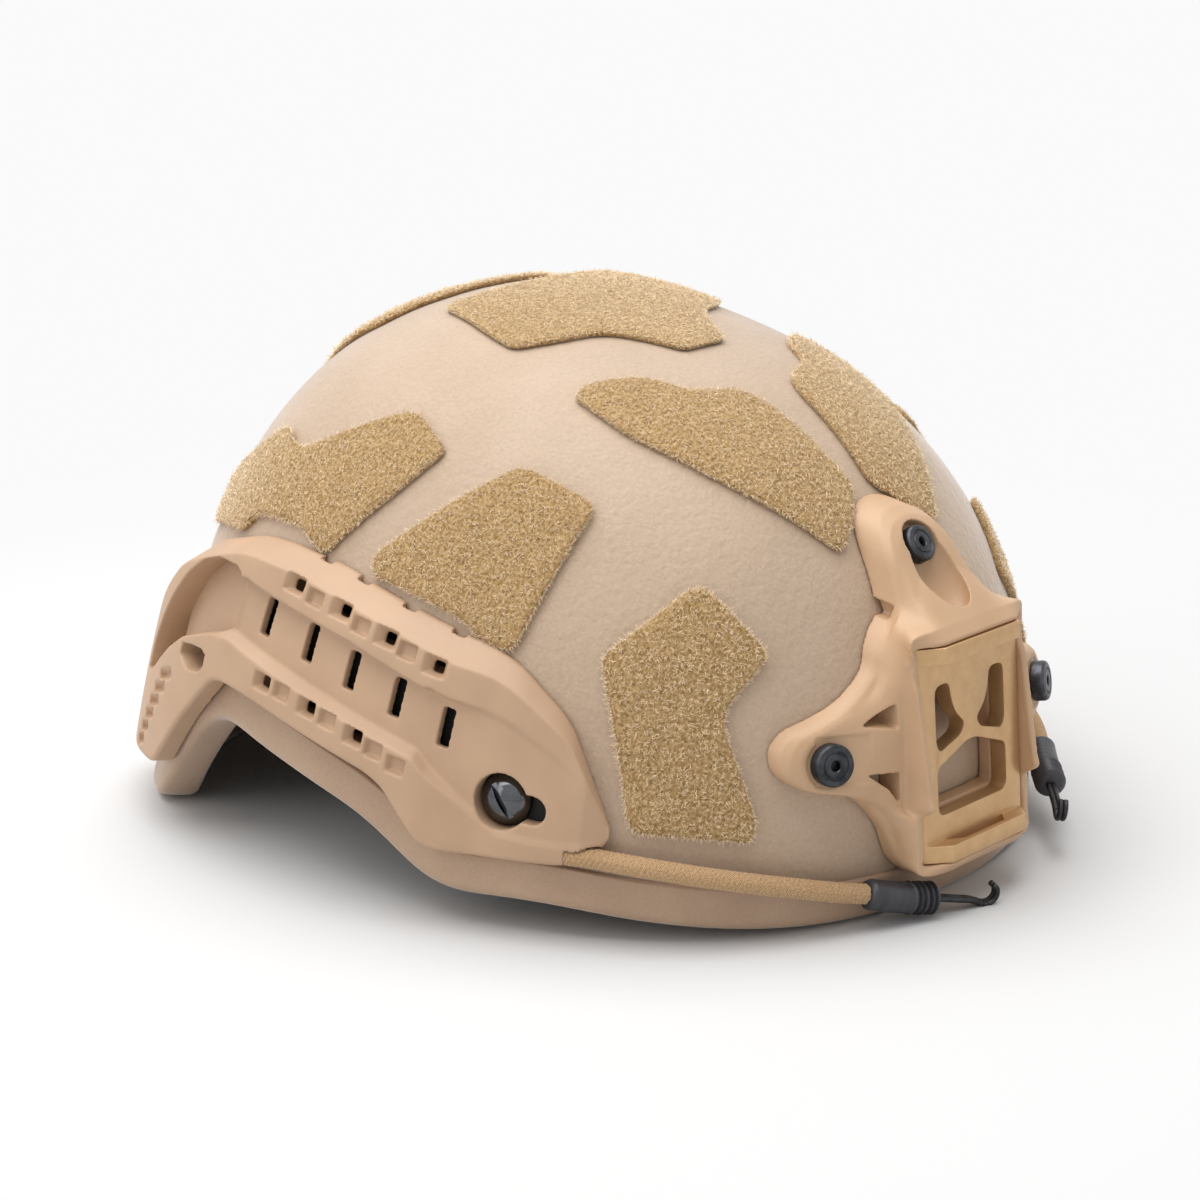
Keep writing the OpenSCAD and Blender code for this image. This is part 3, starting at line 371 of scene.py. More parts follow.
def moulded(obj, voxel, soften, keep):
    """The soft corners of an injection moulding: remeshed finely, smoothed, then thinned."""
    modify(obj, "REMESH", mode="VOXEL", voxel_size=voxel * MM, adaptivity=0)
    modify(obj, "SMOOTH", factor=0.5, iterations=soften)
    modify(obj, "DECIMATE", decimate_type="COLLAPSE", ratio=keep)
    obj.data.shade_smooth()
    return obj


def joined(name, parts):
    """Several pieces as one object."""
    bm = bmesh.new()
    for part in parts:
        bm.from_mesh(part.data)
        bpy.data.objects.remove(part)
    return as_piece(name, bm)


def reflected(obj, name):
    """The same piece for the wearer's other side."""
    other = as_object(name, obj.data.copy())
    other.data.transform(Matrix.Scale(-1, 4, (1, 0, 0)))
    other.data.flip_normals()
    return other


def put(obj, node, material, rides=True):
    """Ride a piece on its body, give it its finish and let it stand for its CAD node, if it has one."""
    if rides:
        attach(obj, BODY.get(node, "helmet"))
    if node:
        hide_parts(node)
    obj.data.materials.clear()
    obj.data.materials.append(material)


def put_pair(obj, stem, material):
    """Put a piece of the wearer's right and its mirror image."""
    other = reflected(obj, obj.name.replace("right", "left"))
    for piece, side in ((obj, "right"), (other, "left")):
        put(piece, stem and f"{stem}_{side}", material)


def copied(node):
    """Merged copy of a CAD node's mesh, as a new piece."""
    obj = as_object(node + "_dressed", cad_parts[node].data.copy())
    obj.data.materials.clear()

    def merge(bm):
        bmesh.ops.remove_doubles(bm, verts=bm.verts, dist=2e-6)
        bmesh.ops.dissolve_limit(bm, angle_limit=math.radians(0.6), verts=bm.verts, edges=bm.edges)

    return remade(obj, merge)


def eased(obj, width, angle=32):
    """Break the corners of a hard piece that are sharper than an angle."""
    modify(obj, "BEVEL", width=width * MM, segments=2, limit_method="ANGLE", angle_limit=math.radians(angle))
    return smooth(obj, 46)


# Finishes


def srgb(code):
    """Linear colour of an sRGB hex value."""
    parts = [int(code[i : i + 2], 16) / 255 for i in (1, 3, 5)]
    return [c / 12.92 if c < 0.04045 else ((c + 0.055) / 1.055) ** 2.4 for c in parts] + [1]


def add(tree, kind, inputs=(), stops=(), **settings):
    """Add a node. inputs are values, nodes or sockets; stops are a ramp's colours or greys."""
    node = tree.nodes.new("ShaderNode" + kind)
    for key, value in settings.items():
        setattr(node, key, value)
    for key, value in dict(inputs).items():
        if isinstance(value, bpy.types.Node):
            value = value.outputs[0]
        if isinstance(value, bpy.types.NodeSocket):
            tree.links.new(value, node.inputs[key])
        else:
            node.inputs[key].default_value = value
    if stops:
        points = node.color_ramp.elements
        while len(points) < len(stops):
            points.new(0.5)
        for point, (at, colour) in zip(points, stops):
            point.position = at
            point.color = srgb(colour) if isinstance(colour, str) else (colour, colour, colour, 1)
    return node


def blank_material(name, where="Object"):
    """A new material, its tree, and Object or UV coordinates in millimetres for its patterns."""
    mat = bpy.data.materials.new(name)
    mat.use_nodes = True
    tree = mat.node_tree
    tree.nodes.clear()
    scale = 1 / MM if where == "Object" else 1
    place = add(tree, "TexCoord").outputs[where]
    return mat, tree, add(tree, "Mapping", {"Vector": place, "Scale": (scale, scale, scale)})


def sprayed_paint(name, light, dark, grit, depth, roughness):
    """Polyurethane paint sprayed over fine grit, which is grit millimetres apart."""
    mat, tree, mm = blank_material(name)
    clouds = add(tree, "TexNoise", {"Vector": mm, "Scale": 1 / 26, "Detail": 3.0})
    base = add(tree, "ValToRGB", {"Fac": clouds}, [(0.3, dark), (0.7, light)])
    fine = add(tree, "TexNoise", {"Vector": mm, "Scale": 1 / grit, "Detail": 3.0, "Roughness": 0.6})
    specks = add(tree, "ValToRGB", {"Fac": fine}, [(0.32, 0.86), (0.68, 1.0)])
    colour = add(tree, "Mix", {0: 0.8, 6: base, 7: specks}, data_type="RGBA", blend_type="MULTIPLY")
    peel = add(tree, "TexNoise", {"Vector": mm, "Scale": 1 / (grit * 2.4), "Detail": 1.0})
    low = add(tree, "Bump", {"Height": fine, "Distance": depth * MM, "Strength": 1.0})
    high = add(tree, "Bump", {"Height": peel, "Distance": depth * 2.2 * MM, "Strength": 0.8, "Normal": low})
    surface = add(tree, "BsdfPrincipled", {
        "Base Color": colour.outputs[2], "Roughness": roughness, "IOR": 1.48, "Specular IOR Level": 0.5,
        "Sheen Weight": 0.6, "Sheen Roughness": 0.35, "Normal": high,
    })
    add(tree, "OutputMaterial", {"Surface": surface})
    return mat


def moulded_nylon(name, light, dark, roughness):
    """Nylon from a spark-eroded mould, whose grain is 0.8 mm so that it shows in the render."""
    mat, tree, mm = blank_material(name)
    cloud = add(tree, "TexNoise", {"Vector": mm, "Scale": 1 / 18, "Detail": 2.0})
    rub = add(tree, "TexNoise", {"Vector": mm, "Scale": 1 / 9, "Detail": 3.0})
    grain = add(tree, "TexNoise", {"Vector": mm, "Scale": 1 / 0.8, "Detail": 2.0})
    surface = add(tree, "BsdfPrincipled", {
        "IOR": 1.53, "Specular IOR Level": 0.45,
        "Base Color": add(tree, "ValToRGB", {"Fac": cloud}, [(0.3, dark), (0.7, light)]),
        "Roughness": add(tree, "ValToRGB", {"Fac": rub}, [(0.3, roughness - 0.06), (0.7, roughness + 0.06)]),
        "Normal": add(tree, "Bump", {"Height": grain, "Distance": 0.05 * MM, "Strength": 1.0}),
    })
    add(tree, "OutputMaterial", {"Surface": surface})
    return mat


def coated_metal(name, light, dark, metallic, roughness, grain=0.5, depth=0.02):
    """Metal under a thin conversion coat that wears a little lighter and glossier."""
    mat, tree, mm = blank_material(name)
    wear = add(tree, "TexNoise", {"Vector": mm, "Scale": 1 / 5, "Detail": 4.0, "Roughness": 0.62})
    blast = add(tree, "TexNoise", {"Vector": mm, "Scale": 1 / grain, "Detail": 2.0})
    surface = add(tree, "BsdfPrincipled", {
        "Metallic": metallic,
        "Base Color": add(tree, "ValToRGB", {"Fac": wear}, [(0.34, dark), (0.68, light)]),
        "Roughness": add(tree, "ValToRGB", {"Fac": wear}, [(0.3, roughness + 0.06), (0.7, roughness - 0.05)]),
        "Normal": add(tree, "Bump", {"Height": blast, "Distance": depth * MM, "Strength": 1.0}),
    })
    add(tree, "OutputMaterial", {"Surface": surface})
    return mat


def looped_pile(name, tip, mid, root):
    """Brushed nylon loop in three tones, in clumps of 5 mm. The darker root tone is painted shade deep in the
    pile; fine noise lays it where the curl relief is low.
    """
    mat, tree, mm = blank_material(name)
    curls = add(tree, "TexNoise", {"Vector": mm, "Scale": 1 / 0.9, "Detail": 2.0, "Roughness": 0.6})
    clumps = add(tree, "TexNoise", {"Vector": mm, "Scale": 1 / 5, "Detail": 2.0})
    # Painted shade: the darker root tone falls where the curl noise, which also raises the bump, is low
    base = add(tree, "ValToRGB", {"Fac": curls}, [(0.3, root), (0.48, mid), (0.7, tip)])
    patches = add(tree, "ValToRGB", {"Fac": clumps}, [(0.3, 0.92), (0.7, 1.0)])
    colour = add(tree, "Mix", {0: 0.8, 6: base, 7: patches}, data_type="RGBA", blend_type="MULTIPLY")
    surface = add(tree, "BsdfPrincipled", {
        "Base Color": colour.outputs[2], "Roughness": 0.9, "Sheen Weight": 1.0, "Sheen Roughness": 0.35,
        "Sheen Tint": srgb("#fff6e6"), "Specular IOR Level": 0.08,
        "Normal": add(tree, "Bump", {"Height": curls, "Distance": 0.3 * MM, "Strength": 1.0}),
    })
    add(tree, "OutputMaterial", {"Surface": surface})
    return mat


def woven(name, thread, light, dark, sheen):
    """Plain weave: threads that cross each other, thread millimetres apart both ways."""
    mat, tree, mm = blank_material(name)
    wave = {"Vector": mm, "Scale": math.pi / (10 * thread), "Distortion": 0.25}
    warp = add(tree, "TexWave", wave, bands_direction="X").outputs["Fac"]
    weft = add(tree, "TexWave", wave, bands_direction="Y").outputs["Fac"]
    high = add(tree, "Math", {0: warp, 1: weft}, operation="MULTIPLY")
    fluff = add(tree, "TexNoise", {"Vector": mm, "Scale": 1 / (thread * 0.7), "Detail": 2.0})
    shade = add(tree, "Math", {0: high, 1: fluff}, operation="MULTIPLY")
    surface = add(tree, "BsdfPrincipled", {
        "Roughness": 0.8, "Sheen Weight": sheen, "Specular IOR Level": 0.3,
        "Base Color": add(tree, "ValToRGB", {"Fac": shade}, [(0.04, dark), (0.42, light)]),
        "Normal": add(tree, "Bump", {"Height": high, "Distance": thread * 0.3 * MM, "Strength": 1.0}),
    })
    add(tree, "OutputMaterial", {"Surface": surface})
    return mat


def braided_elastic(name, light, dark):
    """Braid of polyester yarn: two sets of flat yarns, 0.42 mm apart, that cross each other."""
    mat, tree, mm = blank_material(name, "UV")
    yarns = []
    for turn in (34, -34):
        lie = add(tree, "Mapping", {"Vector": mm, "Rotation": (0, 0, math.radians(turn))})
        wave = {"Vector": lie, "Scale": math.pi / (10 * 0.42), "Distortion": 0.4}
        yarns.append(add(tree, "TexWave", wave, bands_direction="Y").outputs["Fac"])
    high = add(tree, "Math", {0: yarns[0], 1: yarns[1]}, operation="MAXIMUM")
    fluff = add(tree, "TexNoise", {"Vector": mm, "Scale": 1 / 0.5, "Detail": 3.0})
    shade = add(tree, "Math", {0: high, 1: fluff}, operation="MULTIPLY")
    surface = add(tree, "BsdfPrincipled", {
        "Roughness": 0.7, "Sheen Weight": 0.2, "Specular IOR Level": 0.3,
        "Base Color": add(tree, "ValToRGB", {"Fac": shade}, [(0.12, dark), (0.55, light)]),
        "Normal": add(tree, "Bump", {"Height": high, "Distance": 0.1 * MM, "Strength": 1.0}),
    })
    add(tree, "OutputMaterial", {"Surface": surface})
    return mat


def shrunk_sleeve(name, light, dark):
    """Heat-shrink tubing, streaked along its length where it was stretched."""
    mat, tree, mm = blank_material(name, "UV")
    drawn = add(tree, "Mapping", {"Vector": mm, "Scale": (0.15, 1, 1)})
    streaks = add(tree, "TexNoise", {"Vector": drawn, "Scale": 1 / 2.6, "Detail": 2.0})
    surface = add(tree, "BsdfPrincipled", {
        "IOR": 1.5, "Specular IOR Level": 0.5,
        "Base Color": add(tree, "ValToRGB", {"Fac": streaks}, [(0.3, dark), (0.7, light)]),
        "Roughness": add(tree, "ValToRGB", {"Fac": streaks}, [(0.3, 0.5), (0.7, 0.36)]),
        "Normal": add(tree, "Bump", {"Height": streaks, "Distance": 0.12 * MM, "Strength": 1.0}),
    })
    add(tree, "OutputMaterial", {"Surface": surface})
    return mat


# Matt sandy skin with an orange-peel grit and faint clouds, which glows a little at its edges
PAINT = sprayed_paint("textured_tan_paint", "#bea68f", "#b79f87", 1.05, 0.16, 0.6)
# Smoother and browner than the shell, with hardly any grit
TRIM = sprayed_paint("tan_rubber_trim", "#b99c81", "#ad9077", 0.7, 0.03, 0.55)
# Even warm tan with a low soft shine along its edges
NYLON = moulded_nylon("tan_glass_filled_nylon", "#ba997b", "#b09073", 0.5)
# The shroud's moulding is sandier and a little glossier than the rails
FRAME_NYLON = moulded_nylon("sand_glass_filled_nylon", "#c3a07e", "#ba9775", 0.47)
# Dull gold metal: broad soft highlights on flat machined faces
BRONZE = coated_metal("bronze_anodised_aluminium", "#c7a479", "#c09c71", 0.75, 0.4)
# Flat black sheet behind the rail's slots and hook gap: painted shade, so that they read as holes
SLOT_SHADE_BLACK = moulded_nylon("painted_slot_shade_black", "#1d1c1c", "#171616", 0.8)
# Blue-black bolts with a grey sheen on their turned rings
BLACK_STEEL = coated_metal("black_oxide_steel", "#55565a", "#2c2d30", 0.85, 0.38, grain=0.4)
# Dark mirror: the domed screw shows the studio in it
BLACK_NICKEL = coated_metal("black_nickel_steel", "#646568", "#525356", 0.95, 0.13, grain=0.4, depth=0.003)
# Dull dark wire with a thin line of light along it
WIRE = coated_metal("blackened_spring_wire", "#4a4a4c", "#2b2b2d", 0.8, 0.4, grain=0.4)
# Pale fuzzy strands that brighten where they are seen edge on
PILE_CURLS = looped_pile("golden_loop_curls", "#fdebcf", "#f0d9b4", "#cfb087")
# Golden brown backing between the strands, darkened as painted shade for the depth of the pile
PILE_GROUND_SHADED = looped_pile("loop_backing", "#c4a67b", "#a4855a", "#80643f")
# Tan cord with a fine crossing of light yarns over dark gaps
BRAID = braided_elastic("tan_braided_elastic", "#dbb689", "#7d5a36")
# Soft black with a satin streak
SLEEVE = shrunk_sleeve("black_heat_shrink", "#3a3a3f", "#2a2a2e")
# Charcoal knit over foam, dull, with a fine mesh
PAD_CLOTH = woven("charcoal_pad_cloth", 0.9, "#4b4846", "#242322", sheen=0.4)
# Plain black mouldings of the fit system, satin
BLACK_NYLON = moulded_nylon("black_nylon", "#2d2e31", "#242528", 0.5)
# The buckle's acetal is blacker and slicker
BUCKLE = moulded_nylon("black_acetal", "#27282a", "#1f2022", 0.4)
# Padded knit of the chin cup: soft black with a visible mesh
CUP = woven("black_padded_knit", 1.2, "#38393b", "#151516", sheen=0.3)
# Nylon webbing: black, with ribs that catch the light
WEBBING = woven("black_webbing_weave", 1.3, "#343537", "#121213", sheen=0.15)


# Cords

# A cord's thickness, and the distance between the rings of its mesh
CORD_D, CORD_STEP = 6.0, 0.27
# Azimuth, height and stand-off along a cord's route, from inside the rail to the sleeve
CORD_STATIONS = [
    (47.2, 46, 3.6), (44.5, 46.8, 3.8), (42, 47.2, 4.4), (38, 47.4, 5), (34, 47, 5.2), (30, 46.2, 5.2),
    (26, 45, 5.2), (22, 43.6, 5.6), (18, 41.8, 6.2), (14.6, 40.2, 6.8),
]
# Yarns round the cord, their turn in radians for each millimetre, their thickness and how deep they sink
YARNS, YARN_PACE, YARN_T, YARN_SINK = 6, 3.9, 0.3, 0.25
# The sleeve and its rings, and the radius of the hook's wires
SLEEVE_LEN, SLEEVE_R = 24.0, CORD_D / 2 + 1.7
RING_LEN, RINGS = 1.88, 5
WIRE_R = 0.9


def frames(line):
    """Across and up directions along a line, turned as little as may be."""
    ways = np.gradient(line, axis=0)
    ways /= np.linalg.norm(ways, axis=1, keepdims=True)
    across = np.cross(ways, [0, 0, 1.0])
    flat = np.linalg.norm(across, axis=1) < 0.2
    across[flat] = np.cross(ways[flat], [0, 1.0, 0])
    across /= np.linalg.norm(across, axis=1, keepdims=True)
    return across, np.cross(across, ways)


def tube(name, line, radius, sides=24, place=stand, relief_at=None):
    """Round tube along a line, whose UV map runs in millimetres; relief_at raises its skin."""
    across, up = frames(line)
    turn = np.linspace(0, math.tau, sides, endpoint=False)
    r = np.broadcast_to(np.asarray(radius, float), len(line))[:, None] + np.zeros(sides)
    gone = np.concatenate([[0], np.cumsum(np.linalg.norm(np.diff(line, axis=0), axis=1))])
    if relief_at is not None:
        r = r + relief_at(turn[None, :], gone[:, None])
    ring = across[:, None] * np.cos(turn)[None, :, None] + up[:, None] * np.sin(turn)[None, :, None]
    points = line[:, None] + ring * r[..., None]
    girth = math.tau * float(np.mean(radius))
    return skin(name, points, wrap=True, caps=True, size=(girth, gone[-1]), place=place)


def braid_relief(turn, gone):
    """Height of crossing yarns over the cord's own radius."""
    a = YARNS * turn + gone * YARN_PACE
    b = YARNS * turn - gone * YARN_PACE
    over = np.sin(a / 2) * np.sin(b / 2) > 0
    return YARN_T * np.where(over, np.abs(np.cos(a / 2)), np.abs(np.cos(b / 2))) - YARN_SINK


def cord_line(n):
    """Route of a cord from the rail's front end to its sleeve."""
    stations = np.array(CORD_STATIONS[:n], float)
    return flowing(wall(stations[:, 0], stations[:, 1], stations[:, 2]), 12 * n)


def pull_way(n):
    """Direction in which the sleeve and hook pull, as the part's source has it."""
    a, b = (wall(*CORD_STATIONS[i]) for i in (n - 2, n - 1))
    return b, (b - a) / np.linalg.norm(b - a)


def sleeve_line():
    """The sleeve bows a little, as tubing shrunk on a slack cord does."""
    z = np.linspace(0, SLEEVE_LEN, 70)
    bow = 0.55 * np.sin(z / SLEEVE_LEN * math.pi)
    return np.stack([bow, 0 * z, z], axis=1), z


def sleeve_radius(z):
    """Plain tube with a rounded tail, then five rings that step down towards the hook."""
    r = SLEEVE_R - 0.15 - 0.9 * np.clip(1 - z / 1.6, 0, 1) ** 2
    first = SLEEVE_LEN - RINGS * RING_LEN
    r = r + np.where(z > first, 0.42 - ((z - first) / RING_LEN % 1) ** 1.4, 0)
    return r - 0.7 * np.clip((z - SLEEVE_LEN + 1.2) / 1.2, 0, 1)


# One wire of the hook past the sleeve's end: (bend, sideways, along)
HOOK_LINE = [
    (0, 0, -3), (0, 0, 4), (0, 0, 8), (0, 0, 12), (0.4, 0, 15), (0.9, 0, 17.6), (0.2, 0, 19.8),
    (-1.9, 0, 20.9), (-4.2, 0, 20.3), (-5.4, 0, 18.6),
]


def cord_set(side, n, sign):
    """Cord, sleeve and twin-wire hook of one side."""
    place = stand if sign > 0 else (lambda p: stand(np.asarray(p) * MIRROR))
    line = cord_line(n)
    steps = np.linspace(0, 1, int(np.linalg.norm(np.diff(line, axis=0), axis=1).sum() / CORD_STEP))
    gone = np.linspace(0, 1, len(line))
    line = np.stack([np.interp(steps, gone, c) for c in line.T], axis=1)
    cord = tube(f"braided_cord_{side}", line, CORD_D / 2 - 0.02, 54, place, braid_relief)
    cord.data.shade_smooth()

    end, way = pull_way(n)
    spin = Matrix.Rotation(math.atan2(way[1], way[0]), 3, "Z")
    turn = np.array(spin @ Matrix.Rotation(math.acos(way[2]), 3, "Y"))

    def on_end(p):
        return place(np.asarray(p) @ turn.T + end + way * 0.3)

    axis, z = sleeve_line()
    sleeve = tube(f"ribbed_sleeve_{side}", axis, sleeve_radius(z), 40, on_end)
    smooth(sleeve, 50)
    wires = []
    for shift in (-0.75, 0.75):
        bent = flowing(np.array(HOOK_LINE) + [0, shift, SLEEVE_LEN], 60)
        wires.append(tube(f"wire_{side}", bent, WIRE_R - 0.02, 12, on_end))
    hook = joined(f"wire_hook_{side}", wires)
    hook.data.shade_smooth()

    put(cord, f"cord_{side}", BRAID, rides=False)
    put(sleeve, f"sleeve_{side}", SLEEVE)
    put(hook, f"hook_{side}", WIRE)
    path = place(line)
    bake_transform(cord)


cord_set("right", len(CORD_STATIONS), 1)
# The far cord is the shorter one: it ends at the sixth station
cord_set("left", 6, -1)


# Shell and trim

# Azimuth and height of the shell's lower edge, from brow to nape
RIM_HALF = [
    (0, 30.8), (43.8278, 30.8), (47.9235, 30.448), (51.9809, 29.392), (56, 27.632), (58.0578, 26.5455),
    (60.9855, 25.7137), (63.8456, 26.3458), (66.6382, 28.4417), (69.9479, 31.8341), (73.0325, 34.5494),
    (76.2169, 36.474), (79.5011, 37.6079), (101.09, 42.3906), (104.792, 42.0018), (108.019, 39.0896),
    (110.77, 33.654), (124.657, -3.34487), (126.001, -6.16383), (127.575, -8.07283), (129.38, -9.07185),
    (132.5, -9.9559), (140, -11.7815), (148, -13.3054), (156, -14.3792), (164, -15.0395), (172, -15.3578),
    (180, -15.4317),
]
# Height at which the shell's rows stop following its edge, and the share of the rows below it
RING_LOW, LOW_SHARE = 52.0, 0.3


def pace(az):
    """Millimetres along the wall for one degree of azimuth."""
    return np.linalg.norm(wall(az + 1, 20, 0) - wall(az - 1, 20, 0), axis=-1) / 2


def rim_line(step):
    """The shell's lower edge all the way round, as (azimuth, height)."""
    half = np.array(RIM_HALF, float)
    half[:, 0] *= pace(75)
    half = evenly(half, step)
    for _ in range(3):
        half[1:-1] = (half[:-2] + 2 * half[1:-1] + half[2:]) / 4
    half[:, 0] /= pace(75)
    back = half[-2:0:-1].copy()
    back[:, 0] = 360 - back[:, 0]
    return np.vstack([half, back])


def dome(rim, t, off):
    """Row of points at a share t of the way from the rim to the crown."""
    if t < LOW_SHARE:
        return wall(rim[:, 0], rim[:, 1] + (RING_LOW - rim[:, 1]) * t / LOW_SHARE, off)
    low = math.asin((RING_LOW / CROWN_H) ** (CROWN_N / 2))
    turn = low + (math.pi / 2 - low) * (t - LOW_SHARE) / (1 - LOW_SHARE)
    return wall(rim[:, 0], (CROWN_H + off) * min(math.sin(turn), 1) ** (2 / CROWN_N), off)


def make_shell():
    """The laminated shell, with the bores of its bolts and screws."""
    rim = rim_line(2.6)
    rows = [dome(rim, t, -SHELL_T) for t in np.linspace(1, 0, 34)]
    rows += [dome(rim, t, 0) for t in np.linspace(0, 1, 62)]
    shell = skin("laminated_shell", rows, wrap=True)
    bores = [drum(aim(p, n), BORE_R, BORE_R, 40) for p, n in bolt_sites() + screw_sites() + rear_sites()]
    carve(shell, [cutter("bores", bores)])
    put(smooth(shell, 40), "shell", PAINT)


# Height of the trim, its thickness at the edge, its gap to the shell and its lips' thickness
TRIM_H, TRIM_T, TRIM_GAP, LIP_T = 10.5, 2.2, 0.3, 1.6


def trim_section():
    """Rounded channel that grips the edge: (height over the edge, stand-off)."""
    out, back = TRIM_GAP, -SHELL_T - 2 * TRIM_GAP
    corners = [
        (TRIM_H, out, 0), (TRIM_H, out + LIP_T - 0.2, 1.1), (1, out + TRIM_T, 3),
        (-TRIM_T * 0.8, out + 0.9, 1.6), (-TRIM_T, -2, 2), (-TRIM_T, back + 2.2, 2),
        (-TRIM_T * 0.8, back - 0.9, 1.6), (1, back - LIP_T - 0.2, 2), (TRIM_H - 2, back - LIP_T, 1.1),
        (TRIM_H - 2, back, 0), (-TRIM_GAP, back, 0), (-TRIM_GAP, out, 0),
    ]
    return soft_line(corners, steps=3)


def make_trim():
    """Moulded rubber trim, pressed over the shell's edge all the way round."""
    rim = rim_line(2.2)
    ahead, behind = np.roll(rim, -1, axis=0), np.roll(rim, 1, axis=0)
    along = ahead - behind
    along[:, 0] = np.where(along[:, 0] < 0, along[:, 0] + 360, along[:, 0])
    width = pace(rim[:, 0])
    way = along * np.stack([width, np.ones(len(width))], axis=1)
    way /= np.linalg.norm(way, axis=1, keepdims=True)
    # The section stands square to the edge
    rows = [
        wall(rim[:, 0] - way[:, 1] * h / width, rim[:, 1] + way[:, 0] * h, off)
        for h, off in trim_section()
    ]
    rows.append(rows[0])
    trim = skin("edge_trim_band", rows, wrap=True)
    put(smooth(trim, 38), "edge_trim", TRIM)


# Places and sizes of the rail's screws and the shroud's bolts, whose heads sit SEAT_Z over the shell
SCREW_AZ, SCREW_Z, REAR_AZ, REAR_Z = 54.8, 56.3, 124.5, 30.0
BOLT_X, BOLT_Z, BOLT_TOP_Z = 48.6, 77.2, 123.5
SCREW_D, BOLT_D, BOLT_HEAD, SEAT_Z = 15.5, 13.0, 4.2, 6.2
BORE_R, DOME_H = 2.7, 5.0
# Share of BOLT_D that each bolt's head has, the top one first
BOLT_SIZES = (0.86, 0.95, 0.95)


def both_sides(p):
    """A point of the dome and its mirror image, each with its outward direction."""
    pair = [np.asarray(p, float), np.asarray(p, float) * MIRROR]
    return [(q, outward(q)) for q in pair]


def bolt_sites():
    """Points and directions of the shroud's three bolts, the top one first."""
    top = on_front(0, BOLT_TOP_Z, 0)
    return [(top, outward(top))] + both_sides(on_front(BOLT_X, BOLT_Z, 0))


def screw_sites():
    """Those of the domed screws in the rails' front ends."""
    return both_sides(wall(SCREW_AZ, SCREW_Z, 0))


def rear_sites():
    """Those of the screws that hold the rails' rear arms from inside."""
    return both_sides(wall(REAR_AZ, REAR_Z, 0))


make_shell()
make_trim()


# Side rails

# Azimuth and height, with each corner's cut: the rail's upper and lower edge, then its web's
RAIL_TOP = [
    (42.6, 55.5), (43.4, 60, 1), (48.3, 82.6, 5), (57.1, 95.5, 5), (92, 101.4, 8), (106, 98.5, 5),
    (120, 86, 6), (134, 52, 8), (141, 27, 5), (145, 10),
]
RAIL_LOW = [
    (42.6, 53), (43.4, 49, 1), (46.5, 43.8, 3), (64.5, 36.8, 3), (72, 52, 4), (97, 56.5, 5), (104, 55.8, 3),
    (111.2, 33.6, 4), (117.5, 12.5, 3), (131, 4.5, 4), (145, 4),
]
RIDGE_LOW = [
    (43, 53), (46.9, 50), (54.8, 47.5), (58.8, 52), (65.6, 59.8), (67.6, 63), (103.2, 70.3), (110.4, 64.5),
    (120, 48), (146, 48),
]
RIDGE_HIGH = [
    (43, 54), (46, 66), (50, 80), (54.2, 86), (62.7, 85), (67.7, 81.8), (80.8, 85.6), (101.2, 87.6),
    (106.3, 90), (112, 84), (120, 70), (146, 48),
]
# Stand-off of the ridges, the web and the front end, and of the moulding's underside
RAIL_T, RAIL_FLOOR, FRONT_T, CORE_GAP = 9.6, 6.0, 6.5, 0.4
# Cell of the remeshing of large mouldings
VOXEL = 0.42
# Azimuth where the rear arm starts, and how far it stands off the trim's wall
ARM_AZ = 101
TRIM_CLEAR = TRIM_GAP + TRIM_T + 0.3
RAIL_OVER = [(43, 3), (46, FRONT_T), (58, FRONT_T + 0.5), (66, RAIL_T), (146, RAIL_T)]
RAIL_MID = [(43, 3), (46, RAIL_FLOOR), (103, RAIL_FLOOR), (106, RAIL_T)]


def rail_blank():
    """The rail before it is cut: one closed section for each step of azimuth."""
    az = np.concatenate([np.linspace(42.6, 50, 26), np.arange(50.6, 144.6, 0.6), [145.0]])
    low, high = lookup(az, soft_line(RAIL_LOW)), lookup(az, soft_line(RAIL_TOP))
    h = high - low
    # The web lies between the ridges, which keep a share of the height where the rail narrows
    web_low = np.maximum(low + h * 0.15, np.minimum(lookup(az, RIDGE_LOW), low + h * 0.38))
    web_high = np.minimum(high - h * 0.26, np.maximum(lookup(az, RIDGE_HIGH), low + h * 0.56))
    top, web = lookup(az, RAIL_OVER), lookup(az, RAIL_MID)
    slant = np.minimum(1.0, h * 0.06)
    ring = [
        (low, CORE_GAP), (low + h * 0.3, CORE_GAP), (low + h * 0.6, CORE_GAP), (high, CORE_GAP),
        (high, CORE_GAP + 1.6), (high - h * 0.09, top), (web_high + slant, top), (web_high - slant, web),
        ((web_low + web_high) / 2, web), (web_low + slant, web), (web_low - slant, top),
        (low + slant, top), (low, top - slant),
    ]
    # The rear arm runs over the trim
    over_trim = lookup(az, RIM_HALF) + TRIM_H + 1.2
    fine = []
    for (z0, off0), (z1, off1) in zip(ring, ring[1:] + ring[:1]):
        for t in np.linspace(0, 1, 8, endpoint=False):
            z = z0 + (z1 - z0) * t
            clear = np.where((z < over_trim) & (az > ARM_AZ), TRIM_CLEAR, 0)
            fine.append(wall(az, z, np.maximum(off0 + (off1 - off0) * t, clear)))
    return skin("rail_blank", np.stack(fine, axis=1), wrap=True, caps=True)


# Openings of the rear loop: azimuth, lower and upper height
WINDOW = [
    (103.8, 71.5, 88.5), (105.5, 69, 89.8), (110.5, 64, 88.2), (114, 60, 84.5), (118, 52.5, 76.5),
    (122, 43.5, 64.5), (125.5, 35.5, 52), (127.8, 35, 41),
]
HOOK_GAP = [(106.8, 57, 60), (108, 54, 60.8), (111, 52.2, 59.4), (113.6, 54.5, 57.5)]


